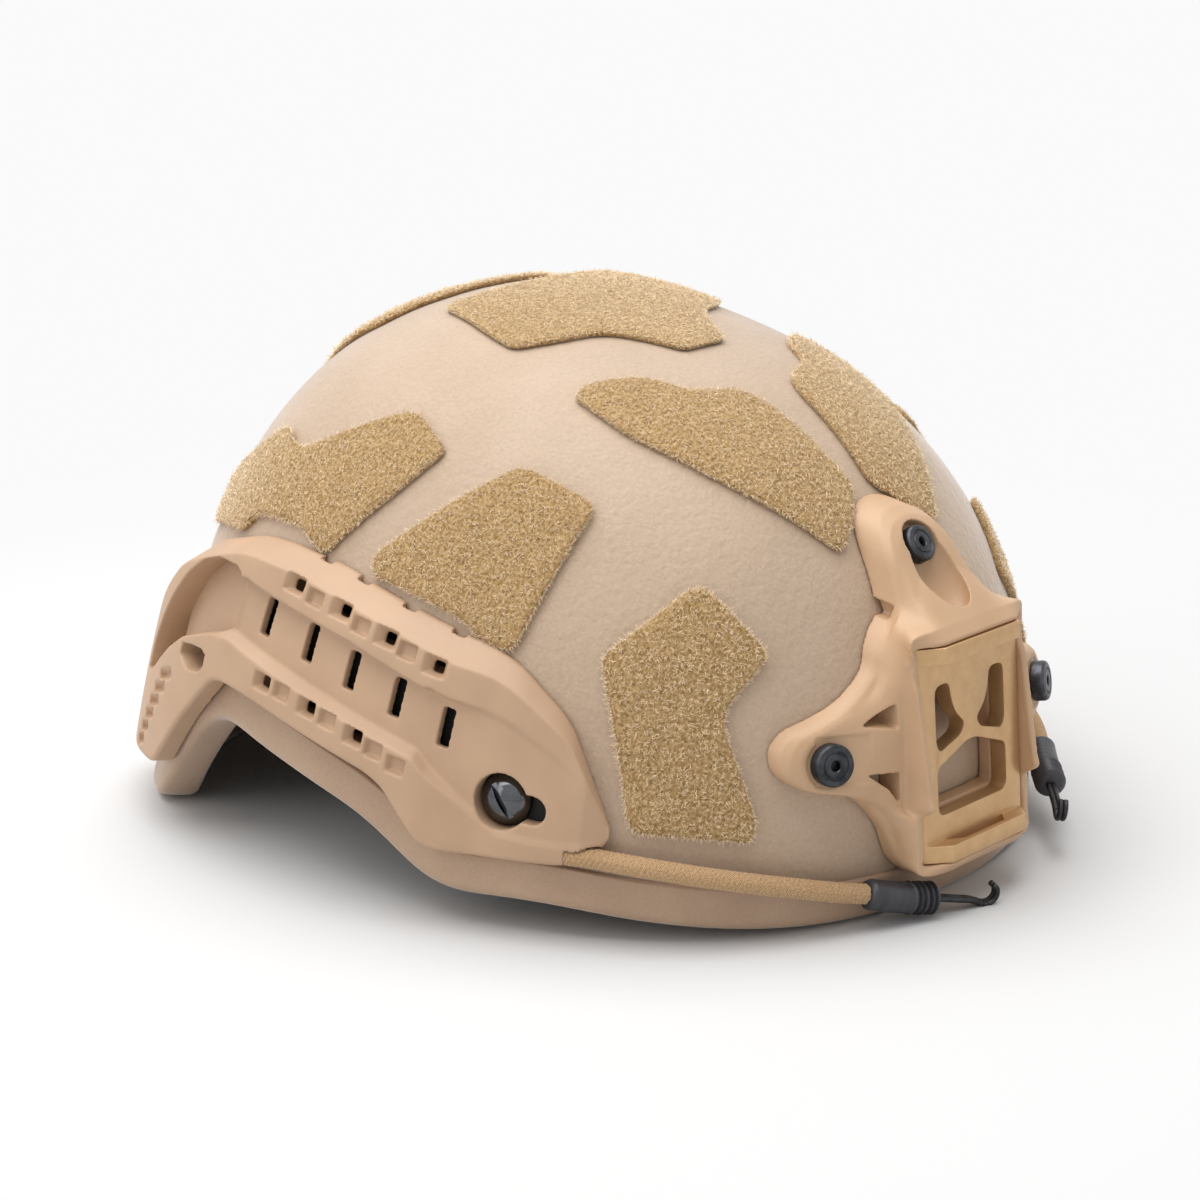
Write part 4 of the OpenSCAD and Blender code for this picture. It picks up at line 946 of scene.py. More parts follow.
def opening(name, stations):
    """Tool that cuts an opening between a lower and an upper edge, flared a little outwards."""
    st = np.array(stations, float)
    az = np.linspace(st[0, 0], st[-1, 0], 60)
    low, high = np.interp(az, st[:, 0], st[:, 1]), np.interp(az, st[:, 0], st[:, 2])
    rows = [
        wall(az, low, -6), wall(az, high, -6), wall(az, high, RAIL_FLOOR), wall(az, high + 1.2, 14),
        wall(az, low - 1.2, 14), wall(az, low, RAIL_FLOOR),
    ]
    return skin(name, np.stack(rows, axis=1), wrap=True, caps=True)


# Azimuth and height of the pockets in the two ridges, from the rear; every other one goes through
HIGH_POCKETS = [
    (92.9, 94.3), (88.5, 93.2), (83.4, 93.5), (79.3, 91.7), (74.8, 91.7), (71.1, 90.4), (66.6, 89.4),
]
LOW_POCKETS = [
    (94, 63.4), (90.1, 63.5), (85.2, 62.8), (81.3, 62.4), (76.7, 61.2), (73.2, 60.1), (69.6, 58.4),
]
WEB_SLOTS = [(97.7, 78.5), (88.4, 77.6), (79.7, 75.8), (71.3, 74.1), (63.3, 71.3)]
SLOT_W, SLOT_H = 4.1, 11.6
NOTCH_AZ = (92, 83.6, 74, 65)
# Ribs across the rear arm: the first one's azimuth and height, the step to the next, and their lean
RIB_AT, RIB_STEP, RIB_LEAN, RIBS = (117.3, 43.5), (1.5, -6.1), math.radians(28), 6


def drafted(bm, mouth, floor, depth):
    """Four-sided pocket whose walls open from its floor to its mouth at z = 0, and on above it."""
    made = bmesh.ops.create_cube(bm, size=2)
    for v in made["verts"]:
        z = 0.6 if v.co.z > 0 else -depth
        span = [f + (m - f) * (1 + z / depth) for m, f in zip(mouth, floor)]
        v.co = (v.co.x * span[0] / 2, v.co.y * span[1] / 2, z)
    return made


def on_rail(az, z, off):
    """Matrix that stands a shape square to the shell at an azimuth, a height and a stand-off."""
    return aim(wall(az, z, off), outward(wall(az, z, 0)))


def rail_tools():
    """Every pocket, slot, rib and notch of the right rail, as joined tools."""
    deep, shallow, slots, ribs, notches = [], [], [], [], []
    for row, mouths in ((HIGH_POCKETS, ((6.2, 8.8), (5.2, 7))), (LOW_POCKETS, ((5.8, 7.6), (5.4, 7)))):
        for i, (az, z) in enumerate(row):
            at = on_rail(az, z, RAIL_T)
            # The lower row's last pocket doesn't go through
            if i % 2 == 0 and not (row is LOW_POCKETS and i == 6):
                deep.append((drafted, {"mouth": mouths[0], "floor": (3.4, 3.6), "depth": 2.7}, at))
                slots.append(block(at, (3.3, 3.5, 12), (0, 0, -4)))
            else:
                shallow.append((drafted, {"mouth": mouths[1], "floor": (3.8, 4.6), "depth": 2.0}, at))
    for az, z in WEB_SLOTS:
        slots.append(block(on_rail(az, z, 0), (SLOT_H, SLOT_W, 18), (0, 0, 5)))
    turn = Matrix.Rotation(RIB_LEAN, 4, "Z") @ Matrix.Rotation(math.radians(45), 4, "Y")
    for i in range(RIBS):
        at = on_rail(RIB_AT[0] + RIB_STEP[0] * i, RIB_AT[1] + RIB_STEP[1] * i, RAIL_T)
        ribs.append(block(at @ turn, (3.3, 11, 3.3)))
    for az in NOTCH_AZ:
        z = float(lookup(az, soft_line(RAIL_TOP)))
        notches.append(block(on_rail(az, z, CORE_GAP), (3.6, 4.8, 3.4), (0.2, 0, 0.7)))
    return [("deep", deep), ("shallow", shallow), ("slots", slots), ("ribs", ribs), ("notches", notches)]


def rail_bed(name, stations, low_off, high_off):
    """Thin sheet that lies on the shell under the rail, between two heights along it."""
    st = np.array(stations, float)
    az = np.arange(st[0, 0], st[-1, 0], 0.8)
    low, high = np.interp(az, st[:, 0], st[:, 1]), np.interp(az, st[:, 0], st[:, 2])
    up = [(t, high_off) for t in np.linspace(0, 1, 12)]
    rows = [wall(az, low + (high - low) * t, off) for t, off in up + [(t, low_off) for t, _ in reversed(up)]]
    return skin(name, np.stack(rows, axis=1), wrap=True, caps=True)


# Sheets under the rail: azimuth, lower and upper height. The first two are black sheets of painted shade
# behind the slots and the hook gap.
SLOT_SHADE_SHEET = [
    (44.5, 49, 61), (50, 46, 76), (60, 44, 88), (66, 50, 90), (72, 56.5, 93), (92, 58.5, 97), (101, 60, 95),
]
HOOK_GAP_SHADE_SHEET = [(105.6, 52, 62), (110, 50.5, 62), (115, 51, 60)]
BED = [(103, 70, 92), (106, 67, 92), (111, 62, 90.5), (118, 50, 79), (124, 37, 60)]
# Hollows that core out the moulding from behind: its web, then its ridges
CORES = [
    ([(59.5, 61, 79), (68, 65.5, 81), (81, 67.5, 83.5), (100.5, 70, 85.5)], 3.3),
    ([(64.5, 85.5, 91.5), (80, 88, 94.6), (95.5, 89.5, 97)], 6.3),
    ([(67.5, 55.5, 60.8), (80, 58.3, 63.8), (96, 60, 66)], 6.3),
]


def make_rails():
    """Both rails, the black sheets of painted shade behind their slots, and the sheets in their rear windows.
    """
    rail = rail_blank()
    screw = screw_sites()[0]
    rounds = [
        ("dish", drum(aim(*screw), SCREW_D / 2 + 0.15, SCREW_D / 2 + 0.8, 17, 5.5, 64)),
        ("oblong", block(aim(*screw, 90), (9.6, 8.4, 17), (4.8, 0, 5.5))),
        ("oblong_end", drum(aim(*screw, 90) @ Matrix.Translation((9.6, 0, 0)), 4.2, 4.2, 17, 5.5, 48)),
        ("rear", drum(aim(*rear_sites()[0]), 2.3, 2.3, 11, 2.6)),
    ]
    modify(rail, "REMESH", mode="VOXEL", voxel_size=VOXEL * MM)
    carve(rail, [
        *(cutter(*tool) for tool in rail_tools()), opening("window", WINDOW), opening("hook_gap", HOOK_GAP),
        *(rail_bed("core", stations, -2, depth) for stations, depth in CORES),
        *(cutter(name, [shape]) for name, shape in rounds),
        tube("tunnel", cord_line(4), CORD_D / 2 + 0.55, 24),
    ], "MANIFOLD")
    moulded(rail, voxel=VOXEL, soften=2, keep=0.34)
    rail.name = "rail_moulding_right"
    put_pair(rail, "rail", NYLON)

    # Black sheets of painted shade behind the slots and the hook gap, so that they read dark
    slot_shade = joined("rail_gasket_right", [
        rail_bed("slot_shade", SLOT_SHADE_SHEET, 0.06, 0.3), rail_bed("hook_back", HOOK_GAP_SHADE_SHEET, 0.06, 0.3),
    ])
    put_pair(slot_shade, None, SLOT_SHADE_BLACK)
    put_pair(smooth(rail_bed("rail_foot_right", BED, 0.1, 2.0), 40), None, NYLON)


make_rails()


# Shroud

# The mounting plate: its size, where the middle of its lower edge stands and how it leans back
PLATE_W, PLATE_H, PLATE_D, CHAMFER = 49.2, 63.5, 11.0, 6.5
PLATE_AT, PLATE_LEAN = np.array([0, -169.3, 49.4]), math.radians(14.15)
POCKET_X, POCKET_GAP = PLATE_W / 2 + 0.2, 0.2
# Edge on the shell (x, z), the plate's pocket (x, height), and the wall, ridge and middle heights
FRAME_ROWS = [
    (0, 137.5, 0, 63.7, 6.5, 9.2, 10.4), (-6.5, 136.6, -4, 63.7, 6.5, 9.2, 10.4),
    (-11.4, 134, -8, 63.7, 7, 9.4, 10.8), (-14.6, 129, -12, 63.7, 7.5, 9.6, 11.6),
    (-16.3, 122.4, -16, 63.7, 7, 9.2, 12), (-17.6, 117, -19, 63.7, 6, 8.6, 12),
    (-19.4, 112.8, -24.8, 63.7, 5, 8, 11.6), (-24, 109.5, -24.8, 61, 4.2, 7, 10),
    (-27.7, 105.5, -24.8, 57.5, 3.8, 6, 8.8), (-30.5, 100.8, -24.8, 55.5, 3.6, 5.4, 8),
    (-36, 96.3, -24.8, 51.5, 3.6, 5.2, 7.3), (-43, 92.3, -24.8, 47, 3.6, 5.4, 6.9),
    (-50.6, 89.2, -24.8, 42.5, 3.8, 5.8, 6.8), (-58, 86.2, -24.8, 38.5, 4, 6, 6.8),
    (-61.8, 82.3, -24.8, 34.5, 4, 6.2, 6.8), (-62.9, 78.2, -24.8, 31, 4, 6.2, 6.8),
    (-61.7, 74.2, -24.8, 27.5, 4, 6.2, 6.8), (-57.3, 71.3, -24.8, 24, 4, 6, 6.8),
    (-48.8, 69.9, -24.8, 20.5, 3.8, 5.8, 6.8), (-42, 67.2, -24.8, 17, 3.6, 5.4, 7),
    (-37.4, 63.4, -24.8, 14, 3.6, 5.2, 7.2), (-32.4, 57.4, -24.8, 8, 3.8, 5.4, 7.8),
    (-29.8, 51.4, -24.8, 3, 4.2, 6, 8.4), (-27, 46, -24.8, -0.2, 5, 7, 9),
    (-22, 42, -18.1, -0.2, 5, 7.4, 9.4), (-14, 40, -9, -0.2, 5, 7.6, 9.4), (0, 39.2, 0, -0.2, 5, 7.6, 9.4),
]
# Sections lofted from each row of the table to the next
FRAME_STEPS = 4
# Heights up the plate: the side flange's top, the place where it stands out most, and its lower end
FLANGE_HIGH, FLANGE_TIP, FLANGE_END = 55.5, 17, 14
# Opening through the moulding behind the plate: its half width and its heights
HOLE_X, HOLE_LOW, HOLE_HIGH = 17, 15, 57
# Windows between the plate's pocket and the left ears, (x, z)
FRAME_WINDOWS = [[(29.2, 94), (40, 88.2), (29.2, 87)], [(29.2, 74.5), (40, 75), (33, 70), (29.2, 65)]]


def plate_point(x, y, h):
    """Point of the mounting plate's own frame: y runs in from its face and h up it."""
    c, s = math.cos(PLATE_LEAN), math.sin(PLATE_LEAN)
    return PLATE_AT + np.array([x, y * c + h * s, h * c - y * s])


def flange_y(h):
    """Depth of the side flange's edge behind the plate's face."""
    if h >= FLANGE_HIGH or h <= FLANGE_END:
        return 5.2
    return 0.6 + 3.8 * (h - FLANGE_TIP) / (FLANGE_HIGH - FLANGE_TIP)


def frame_section(row):
    """Loop of points across the moulding, from its edge on the shell to the plate's pocket."""
    ex, ez, px, ph, low, ridge, mid = row
    top, under = ph > PLATE_H, ph < 0
    n = np.array([np.sign(px) if abs(px) > PLATE_W / 2 else 0, 1 if top else -1 if under else 0], float)
    n /= np.linalg.norm(n)
    # Depth of the pocket's rim: its corners follow the plate's chamfer, its sides the flange
    corner = 0.7 + max(0, abs(px) - PLATE_W / 2 + CHAMFER) * 0.68
    y = corner if top or under else flange_y(ph)
    # Foot of the wall round the pocket, and how far the rim's lip stands out
    lip = 0.9
    if top or under:
        base = plate_point(px + n[0] * 3.4, max(3.4, y), ph + n[1] * (4.6 if top else 3.6))
    elif FLANGE_END < ph < 60:
        base = plate_point(px + n[0] * 2.7, 8.0 + 0.04 * (FLANGE_HIGH - ph), ph)
        lip = 2.1
    else:
        base = plate_point(px + n[0] * 2.8, 5.6, ph)
    # Up the wall at the edge, over the ridge and the middle, to the wall's foot
    edge = np.array([ex, ez])
    way = base[[0, 2]] - edge
    m = np.linalg.norm(way)
    shares = (min(0.25, 1.3 / m), min(0.4, 3.6 / m), 0.56)
    q1, q2, q3 = (edge + way * t for t in shares)
    # Down the pocket and back under the moulding to its edge
    hole = min(HOLE_HIGH, max(HOLE_LOW, ph))
    seat = plate_point(px * HOLE_X / POCKET_X, PLATE_D + POCKET_GAP, hole + 0.1 * (ph - hole))
    lift = TRIM_CLEAR if ez < BROW_Z + TRIM_H + 1 else CORE_GAP
    loop = [
        on_front(ex, ez, lift), on_front(ex, ez, low), on_front(*q1, low + (ridge - low) * 0.7),
        on_front(*q2, ridge), on_front(*q3, mid), base, plate_point(px + n[0] * lip, y, ph + n[1] * lip),
        plate_point(px, y + 0.3, ph), plate_point(px, PLATE_D + POCKET_GAP, ph), seat,
        on_front(seat[0], seat[2], CORE_GAP),
    ]
    for t in (0.3, 0.6, 0.82):
        at = seat[[0, 2]] + (edge - seat[[0, 2]]) * t
        loop.append(on_front(*at, CORE_GAP))
    return np.array(loop)


def prism(outline):
    """Tool with an outline in x and z that passes from front to back through the shroud."""
    rings = [[(x, y, z) for x, z in outline] for y in (-180, -120)]
    return skin("prism", rings, wrap=True, caps=True)


def make_shroud_frame():
    """The moulding that carries the mounting plate, with its recesses, marks and windows."""
    half = np.array([frame_section(r) for r in FRAME_ROWS])
    rows = np.concatenate([half, half[-2:0:-1] * MIRROR])
    closed = np.concatenate([rows[-1:], rows, rows[:2]])
    shares = np.arange(FRAME_STEPS) / FRAME_STEPS
    fine = [between(*closed[i : i + 4], t) for i in range(len(rows)) for t in shares]
    fine.append(fine[0])
    shroud = skin("shroud_moulding", fine, wrap=True)
    top, *low = bolt_sites()
    hollow = aim(*top) @ Matrix.Translation((9.5, 0, SEAT_Z + 5)) @ Matrix.Diagonal((15, 8.6, 6, 1))
    scoop = (bmesh.ops.create_uvsphere, {"u_segments": 48, "v_segments": 24, "radius": 1}, hollow)
    wide, wider = BOLT_D / 2 + 0.7, BOLT_D / 2 + 1.3
    recesses = [drum(aim(*site), wide, wider, 24, SEAT_Z - 0.3 + 12, 48) for site in (top, *low)]
    marks = [block(aim(p, n), (14.4, 18, 10), (-0.6, -4.6 * np.sign(p[0]), SEAT_Z - 0.2 + 5)) for p, n in low]
    marks += [block(LEVEL, (4.6, 60, 4), (side * 18.1, -103.6, 114.2)) for side in (-1, 1)]
    windows = [prism([(side * x, z) for x, z in line]) for side in (-1, 1) for line in FRAME_WINDOWS]
    modify(shroud, "REMESH", mode="VOXEL", voxel_size=VOXEL * MM)
    tools = [cutter("scoops", [scoop]), cutter("recesses", recesses), cutter("marks", marks), *windows]
    carve(shroud, tools, "MANIFOLD")
    moulded(shroud, voxel=0.4, soften=2, keep=0.4)
    put(shroud, "shroud_frame", FRAME_NYLON)


make_shroud_frame()


def make_plate():
    """The mounting plate keeps its machined CAD shape, with its sharp corners broken."""
    put(eased(copied("shroud_plate"), 0.4), "shroud_plate", BRONZE)


make_plate()


# Fasteners


def make_fasteners():
    """Bolts with a turned groove and a small socket, domed screws with a sawn slot."""
    r = BOLT_D / 2 - 0.02
    head = SEAT_Z + BOLT_HEAD
    profile = [
        (0, head - 2.2), (1.55, head - 2.2), (1.6, head - 0.3), (1.9, head), (3.6, head),
        (3.85, head - 0.35), (4.2, head - 0.35), (4.45, head), (r - 1, head), (r - 0.35, head - 0.3),
        (r, head - 1), (r, SEAT_Z + 0.3), (r - 0.3, SEAT_Z), (2.5, SEAT_Z), (2.5, -SHELL_T - 3.2),
        (2.2, -SHELL_T - 3.4), (0, -SHELL_T - 3.4),
    ]
    places = [
        aim(*site) @ Matrix.Diagonal((size, size, 1, 1)) for site, size in zip(bolt_sites(), BOLT_SIZES)
    ]
    bolts = turned("shroud_bolt_heads", profile, places)
    put(smooth(bolts, 40), "shroud_bolts", BLACK_STEEL)

    nut = [
        (2.7, -SHELL_T - 4.8), (6, -SHELL_T - 4.8), (6.5, -SHELL_T - 4.3), (6.5, -SHELL_T - 2.9),
        (6.1, -SHELL_T - 2.5), (2.7, -SHELL_T - 2.5), (2.7, -SHELL_T - 4.8),
    ]
    nuts = turned("shroud_bolt_nuts", nut, [aim(p, n) for p, n in bolt_sites()])
    put(smooth(nuts, 40), "shroud_nuts", BLACK_STEEL)

    ball = (SCREW_D**2 / 4 + DOME_H * DOME_H) / (2 * DOME_H)
    top = CORE_GAP + 1 + DOME_H
    turns = np.linspace(0, math.asin(SCREW_D / 2 / ball), 14)
    dome_line = [(ball * math.sin(t), top - ball * (1 - math.cos(t))) for t in turns]
    shank = [
        (SCREW_D / 2, CORE_GAP + 0.4), (SCREW_D / 2 - 0.4, CORE_GAP), (2.5, CORE_GAP), (2.5, -SHELL_T - 4.8),
        (2.2, -SHELL_T - 5), (0, -SHELL_T - 5),
    ]
    places = [aim(p, n, 40 if p[0] < 0 else -40) for p, n in screw_sites()]
    screws = turned("domed_screws", dome_line + shank, places, 80)
    slots = [block(place, (2 * SCREW_D, 1.7, 4), (0, 0, CORE_GAP + 4 + 2)) for place in places]
    carve(screws, [cutter("screw_slots", slots)])
    put(eased(screws, 0.18, 50), "rail_screws", BLACK_NICKEL)


make_fasteners()


# Loop pile

PILE_T = 2.4
# Outlines on each patch's own flat drawing, with the cut of each corner
CROWN_HALF = [
    (9.5, -38.5, 3), (14.5, -29, 5), (22, -17.5, 8), (36, -12.5, 5), (48, -5, 4), (46, 8, 8),
    (38, 34, 4), (18, 31, 4),
]
REAR_CROWN_HALF = [(12, -32, 4), (33, -26, 5), (46, 14, 5), (43, 26, 4), (22, 37, 4)]
BROW_LINE = [
    (38, 25, 3), (33, 29, 3), (17, 28, 5), (5, 18, 5), (-11, 18, 5), (-17, 12, 4), (-33, -21, 4),
    (-27.5, -33, 4), (-20, -44, 5), (10, -19, 10), (30, 4, 8),
]
TEMPLE_LINE = [
    (25, 18, 4), (-2, 38.5, 5), (-21, 18, 3), (-6.5, 1, 6), (-19, -28, 5), (-18, -33.5, 3), (15.5, -30, 4),
]
SIDE_LINE = [
    (32.5, 1, 3), (-5, 32.5, 4), (-30.5, 25, 4), (-18.5, -20, 4), (-8, -17.8, 3), (-1.5, -13.5, 4),
    (31, -4, 3),
]
REAR_LINE = [
    (-36, 26, 3), (-32, 9, 8), (-20, -18.5, 4), (-6, -16, 4), (16, -21, 4), (20, -27, 3), (50, -28, 4),
    (55, -14, 4), (40, -6, 3), (26, 5, 4), (17, 1, 3), (10, 1, 4), (-3, 14, 6), (-17, 30, 4),
]


def mirrored(line):
    """The other half of an outline that is the same on both sides."""
    return [(-x, y, cut) for x, y, cut in reversed(line)]


# Node, azimuth and elevation of the patch's middle, hub of its rings, outline and its side
PATCHES = [
    ("loop_crown", 0, 90, (0, 0), CROWN_HALF + mirrored(CROWN_HALF), 1),
    ("loop_rear_crown", 180, 60, (0, 4), REAR_CROWN_HALF + mirrored(REAR_CROWN_HALF), 1),
]
for stem, az, el, hub, line in (
    ("loop_brow", 20.8, 62.1, (0, -4), BROW_LINE),
    ("loop_temple", 34.2, 32.5, (7, 0), TEMPLE_LINE),
    ("loop_side", 66, 46.2, (-8, 3), SIDE_LINE),
    ("loop_rear", 104.5, 50.8, (2, -8), REAR_LINE),
):
    PATCHES.append((stem + "_right", az, el, hub, line, 1))
    PATCHES.append((stem + "_left", az, el, hub, line, -1))

# Curls to a square millimetre, the most on one patch, and those at each step along its edge
CURLS_PER_MM2 = 2.7
MOST_CURLS = 12600
FRINGE = 4
# Distance between tufts, and a curl's length and radius
TUFT, CURL_LEN, CURL_R = 2.3, 2.1, 0.11


def patch_axes(az, el):
    """Outward, sideways and up directions of a patch's flat drawing."""
    s, c = math.sin(rad(az)), math.cos(rad(az))
    n = np.array([-s * math.cos(rad(el)), -c * math.cos(rad(el)), math.sin(rad(el))])
    u = np.array([-c, s, 0.0])
    return n, u, np.cross(u, n)


def lifted(az, el, flat, off):
    """Points of the dome over points of a patch's own flat drawing."""
    n, u, w = patch_axes(az, el)
    flat = np.asarray(flat, float)
    return cast(flat[..., :1] * u + flat[..., 1:2] * w, n, off)


def inside_line(points, line):
    """Which points lie inside a closed outline."""
    x, y = points[:, 0], points[:, 1]
    found = np.zeros(len(points), bool)
    for (x0, y0), (x1, y1) in zip(line, np.roll(line, -1, axis=0)):
        crosses = (y0 > y) != (y1 > y)
        found ^= crosses & (x < (x1 - x0) * (y - y0) / (y1 - y0 + 1e-12) + x0)
    return found


def edge_distance(points, line):
    """Distance of points from a closed outline."""
    best = np.full(len(points), 1e9)
    for a, b in zip(line, np.roll(line, -1, axis=0)):
        ab = b - a
        t = np.clip(((points - a) @ ab) / (ab @ ab + 1e-12), 0, 1)
        best = np.minimum(best, np.linalg.norm(points - a - t[:, None] * ab, axis=1))
    return best


def one_curl():
    """A three-sided strand with a ring at its root, its bend and its tip."""
    bm = bmesh.new()
    bmesh.ops.create_cone(bm, cap_ends=True, segments=3, radius1=1, radius2=0.45, depth=2)
    bmesh.ops.bisect_plane(bm, geom=bm.verts[:] + bm.edges[:] + bm.faces[:], plane_no=(0, 0, 1))
    bmesh.ops.recalc_face_normals(bm, faces=bm.faces)
    bm.verts.ensure_lookup_table()
    shape = np.array([v.co[:] for v in bm.verts])
    faces = [[v.index for v in f.verts] for f in bm.faces]
    bm.free()
    return shape, faces


def unit(v):
    """Directions of length 1."""
    return v / np.linalg.norm(v, axis=-1, keepdims=True)


def tuft_pull(flat, rng):
    """Direction from each root to the middle of the tuft that it belongs to."""
    cell = np.floor(flat / TUFT).astype(int)
    cell -= cell.min(axis=0)
    stray = rng.uniform(-0.45, 0.45, (*(cell.max(axis=0) + 1), 2))
    base = np.floor(flat / TUFT)
    return (base + 0.5 + stray[cell[:, 0], cell[:, 1]]) * TUFT - flat


def curls(name, roots, normals, pull, rng, place):
    """Copies of one curl, each bent over its own way, standing on points of a patch."""
    shape, faces = one_curl()
    n = len(roots)
    lean = unit(rng.normal(size=(n, 3))) + pull
    lean = unit(lean - normals * np.sum(lean * normals, axis=1, keepdims=True))
    over = unit(rng.normal(size=(n, 3)))
    length = CURL_LEN * rng.uniform(0.55, 1.15, (n, 1))
    rise = normals * rng.uniform(0.5, 0.95, (n, 1)) + lean * rng.uniform(0.1, 0.7, (n, 1))
    bend = roots + rise * length * 0.55
    tip = bend + unit(lean + over * 0.6 + normals * rng.uniform(-0.5, 0.5, (n, 1))) * length * 0.5
    spine = np.stack([roots, bend, tip], axis=1)
    side = unit(np.cross(lean, normals))
    radius = CURL_R * rng.uniform(0.7, 1.3, (n, 1, 1))
    ring = np.rint(shape[:, 2]).astype(int) + 1
    verts = spine[:, ring] + radius * (
        side[:, None] * shape[None, :, :1] + np.cross(side, unit(tip - roots))[:, None] * shape[None, :, 1:2]
    )
    k = len(shape)
    copies = [[i * k + c for c in face] for i in range(n) for face in faces]
    mesh = bpy.data.meshes.new(name)
    mesh.from_pydata(place(verts.reshape(-1, 3)), [], copies)
    return remade(as_object(name, mesh), lambda bm: bmesh.ops.recalc_face_normals(bm, faces=bm.faces))


def patch_loops(az, el, hub, line):
    """Rings of a pile patch: up its rolled edge and in over its crown to the hub."""
    hub = np.array(hub, float)
    edge = [
        (0.0, 0.1), (0.5, 0.1), (0.985, 0.1), (1.0, 0.35), (1.012, 0.9), (1.008, PILE_T - 0.95),
        (0.992, PILE_T - 0.55), (0.965, PILE_T - 0.35),
    ]
    rings = [lifted(az, el, hub + (line - hub) * share, off) for share, off in edge]
    for share in (0.92, 0.86, 0.79, 0.71, 0.62, 0.52, 0.41, 0.29, 0.16, 0.0):
        flat = hub + (line - hub) * share
        puff = 0.16 * np.sin(flat[:, 0] * 0.55 + az) * np.sin(flat[:, 1] * 0.47 + el)
        rings.append(lifted(az, el, flat, PILE_T - 0.3 + puff))
    return rings


def make_patch(node, az, el, hub, outline, side, seed):
    """One loop panel: its backing, and curls over its face and along its edge."""
    place = stand if side > 0 else (lambda p: stand(np.asarray(p) * MIRROR))
    rng = np.random.default_rng(seed)
    line = evenly(soft_line(outline, closed=True), 1.6, closed=True)
    ground = skin(node + "_backing", patch_loops(az, el, hub, line), wrap=True, place=place)
    # The backing's darker finish is painted shade between the strands
    put(smooth(ground, 80), node, PILE_GROUND_SHADED)

    low, high = line.min(axis=0), line.max(axis=0)
    spread = np.prod(high - low)
    flat = rng.uniform(low, high, (int(spread * CURLS_PER_MM2), 2))
    flat = flat[inside_line(flat, line)][:MOST_CURLS]
    fringe = np.repeat(evenly(line, 0.8, closed=True), FRINGE, axis=0)
    fringe += (hub - fringe) * rng.uniform(0, 0.02, (len(fringe), 1))
    gap = np.concatenate([edge_distance(flat, line), np.zeros(len(fringe))])
    rise = PILE_T - 0.9 - np.clip(1.2 - gap, 0, 1.2) * 0.8
    rise[len(flat):] = rng.uniform(0.5, PILE_T - 0.8, len(fringe))
    pull = np.concatenate([tuft_pull(flat, rng) * 0.9, unit(fringe - hub) * 1.3])
    flat = np.vstack([flat, fringe])
    roots = lifted(az, el, flat, rise)
    n, u, w = patch_axes(az, el)
    pile = curls(node + "_curls", roots, outward(roots), pull[:, :1] * u + pull[:, 1:] * w, rng, place)
    put(pile, None, PILE_CURLS)


for seed, patch in enumerate(PATCHES):
    make_patch(*patch, seed=seed + 11)


# Liner, fit system and harness


def make_pads():
    """Foam pads in knitted cloth, fixed inside the shell by hook and loop."""
    for node in [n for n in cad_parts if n.startswith("pad_")]:
        pad = copied(node)
        modify(pad, "SUBSURF", levels=2, render_levels=2)
        pad.data.shade_smooth()
        put(pad, node, PAD_CLOTH)


make_pads()

# Node: slot, finish and width of its broken corners
HARD = {
    "rail_posts": ("black_steel", BLACK_STEEL, 0.4),
    "rail_rear_screws": ("black_steel", BLACK_STEEL, 0.4),
    "nape_cradle": ("fit_plastic", BLACK_NYLON, 0.6),
    "dial_knob": ("fit_plastic", BLACK_NYLON, 0.5),
    "band_right": ("fit_plastic", BLACK_NYLON, 0.4),
    "band_left": ("fit_plastic", BLACK_NYLON, 0.4),
    "yoke_right": ("buckle_plastic", BUCKLE, 0.5),
    "yoke_left": ("buckle_plastic", BUCKLE, 0.5),
    "buckle_socket": ("buckle_plastic", BUCKLE, 0.7),
    "buckle_plug": ("buckle_plastic", BUCKLE, 0.6),
}


def make_hard_parts():
    """Small hard parts keep their CAD shape with the corners broken."""
    for node, (finish, mat, width) in HARD.items():
        put(eased(copied(node), width), node, mat)


make_hard_parts()


def make_webbing():
    """Nylon webbing keeps the path of its CAD solids; the chin cup is padded over a moulded core."""
    for node in [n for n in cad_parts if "strap" in n]:
        strap = eased(copied(node), 0.35)
        put(strap, node, WEBBING)
    cup = copied("chin_cup")
    modify(cup, "SUBSURF", levels=2, render_levels=2)
    cup.data.shade_smooth()
    put(cup, "chin_cup", CUP)


make_webbing()


# Studio

BACKDROP = "#fafafa"
# Distances, in millimetres, over which the floor fades to the backdrop
FADE_FROM, FADE_TO = 160, 500


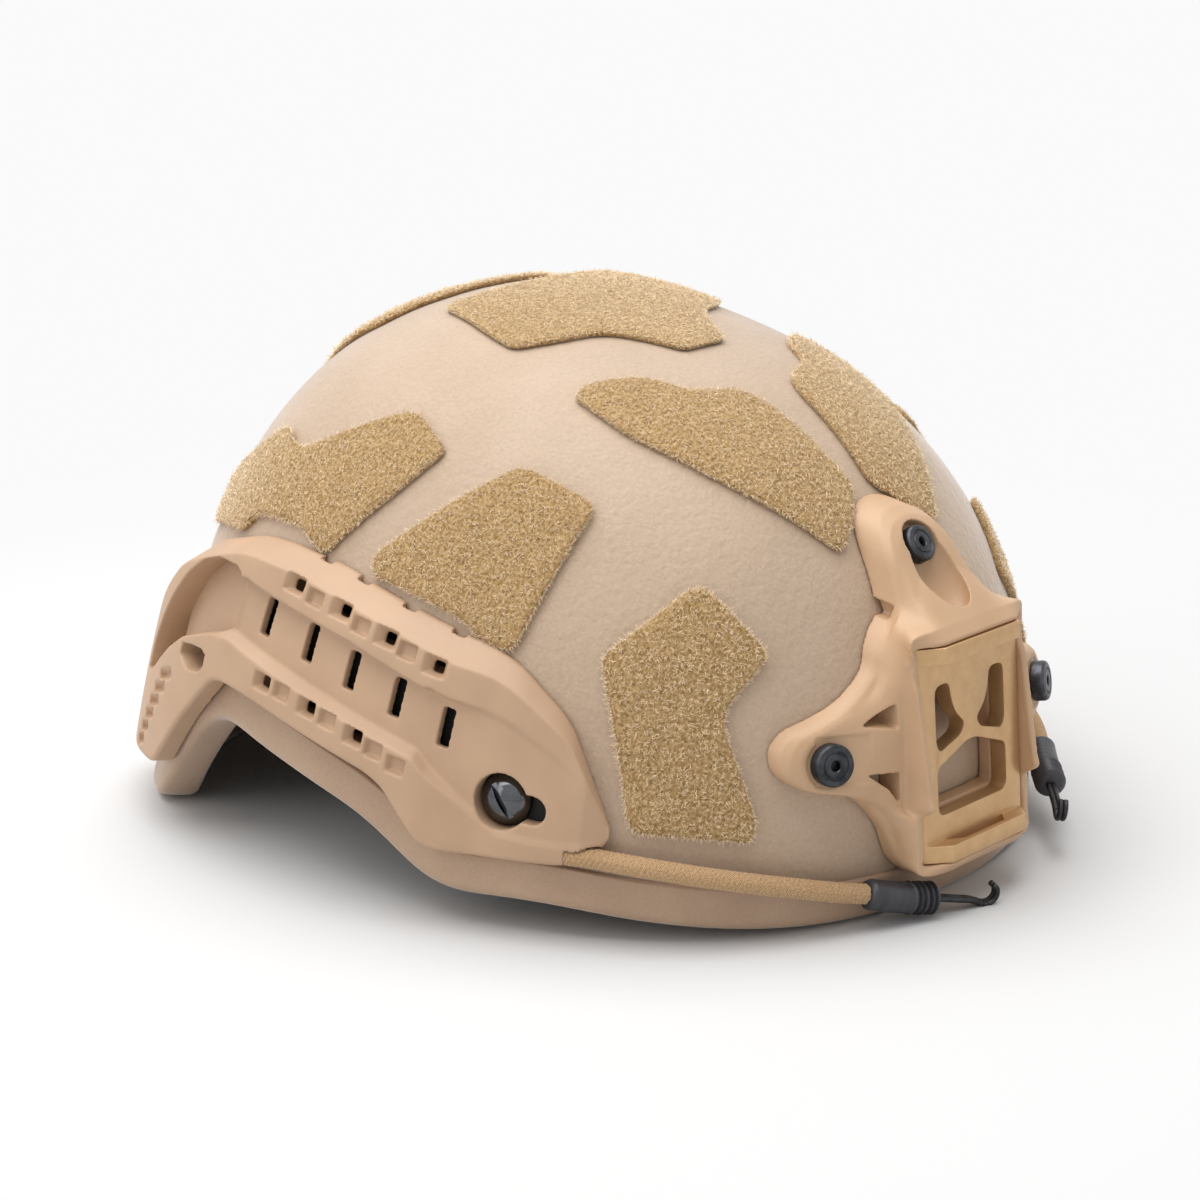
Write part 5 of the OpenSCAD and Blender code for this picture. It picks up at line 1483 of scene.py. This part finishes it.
def make_floor():
    """Pale disc that keeps the shadow; the camera sees it fade to the backdrop's white further out."""
    mat, tree, mm = blank_material("pale_studio_floor")
    ground = add(tree, "BsdfPrincipled", {
        "Base Color": srgb("#d2d2d2"), "Roughness": 0.9, "Specular IOR Level": 0.1,
    })
    far = add(tree, "VectorMath", {0: mm}, operation="LENGTH").outputs["Value"]
    span = {"Value": far, "From Min": FADE_FROM, "From Max": FADE_TO}
    fade = add(tree, "MapRange", span, interpolation_type="SMOOTHSTEP")
    seen = add(tree, "LightPath").outputs["Is Camera Ray"]
    share = add(tree, "Math", {0: fade, 1: seen}, operation="MULTIPLY")
    white = add(tree, "Emission", {"Color": srgb(BACKDROP), "Strength": 1.0})
    add(tree, "OutputMaterial", {"Surface": add(tree, "MixShader", {0: share, 1: ground, 2: white})})
    bm = bmesh.new()
    bmesh.ops.create_circle(bm, cap_ends=True, segments=96, radius=6)
    floor = as_piece("studio_floor", bm)
    floor.data.materials.append(mat)


def make_world():
    """White to the camera, and in gloss and glass; a plain soft light to everything else."""
    world = bpy.data.worlds.new("studio_world")
    world.use_nodes = True
    tree = world.node_tree
    tree.nodes.clear()
    rays = add(tree, "LightPath").outputs
    seen = add(tree, "Math", {0: rays["Is Camera Ray"], 1: rays["Is Glossy Ray"]}, operation="MAXIMUM")
    seen = add(tree, "Math", {0: seen, 1: rays["Is Transmission Ray"]}, operation="MAXIMUM")
    soft = add(tree, "Background", {"Color": srgb("#ffffff"), "Strength": 0.56})
    white = add(tree, "Background", {"Color": srgb(BACKDROP), "Strength": 1.0})
    add(tree, "OutputWorld", {"Surface": add(tree, "MixShader", {0: seen, 1: soft, 2: white})})
    bpy.context.scene.world = world


def softbox(name, at, aim_at, size, power):
    """Rectangular lamp at a point in metres, aimed at another."""
    data = bpy.data.lights.new(name, "AREA")
    data.shape = "RECTANGLE"
    data.size, data.size_y = size
    data.energy = power
    lamp = bpy.data.objects.new(name, data)
    bpy.context.collection.objects.link(lamp)
    turn = (Vector(aim_at) - Vector(at)).to_track_quat("-Z", "Y")
    lamp.matrix_world = Matrix.Translation(Vector(at)) @ turn.to_matrix().to_4x4()


make_floor()
make_world()
softbox("overhead_softbox", (-0.2, 0.3, 1.9), (0, 0, 0.08), (2.2, 2.2), 52)
softbox("left_softbox", (-1.7, 0.5, 0.9), (0, 0, 0.1), (1.0, 1.2), 6)

bpy.context.scene.view_settings.view_transform = "Standard"
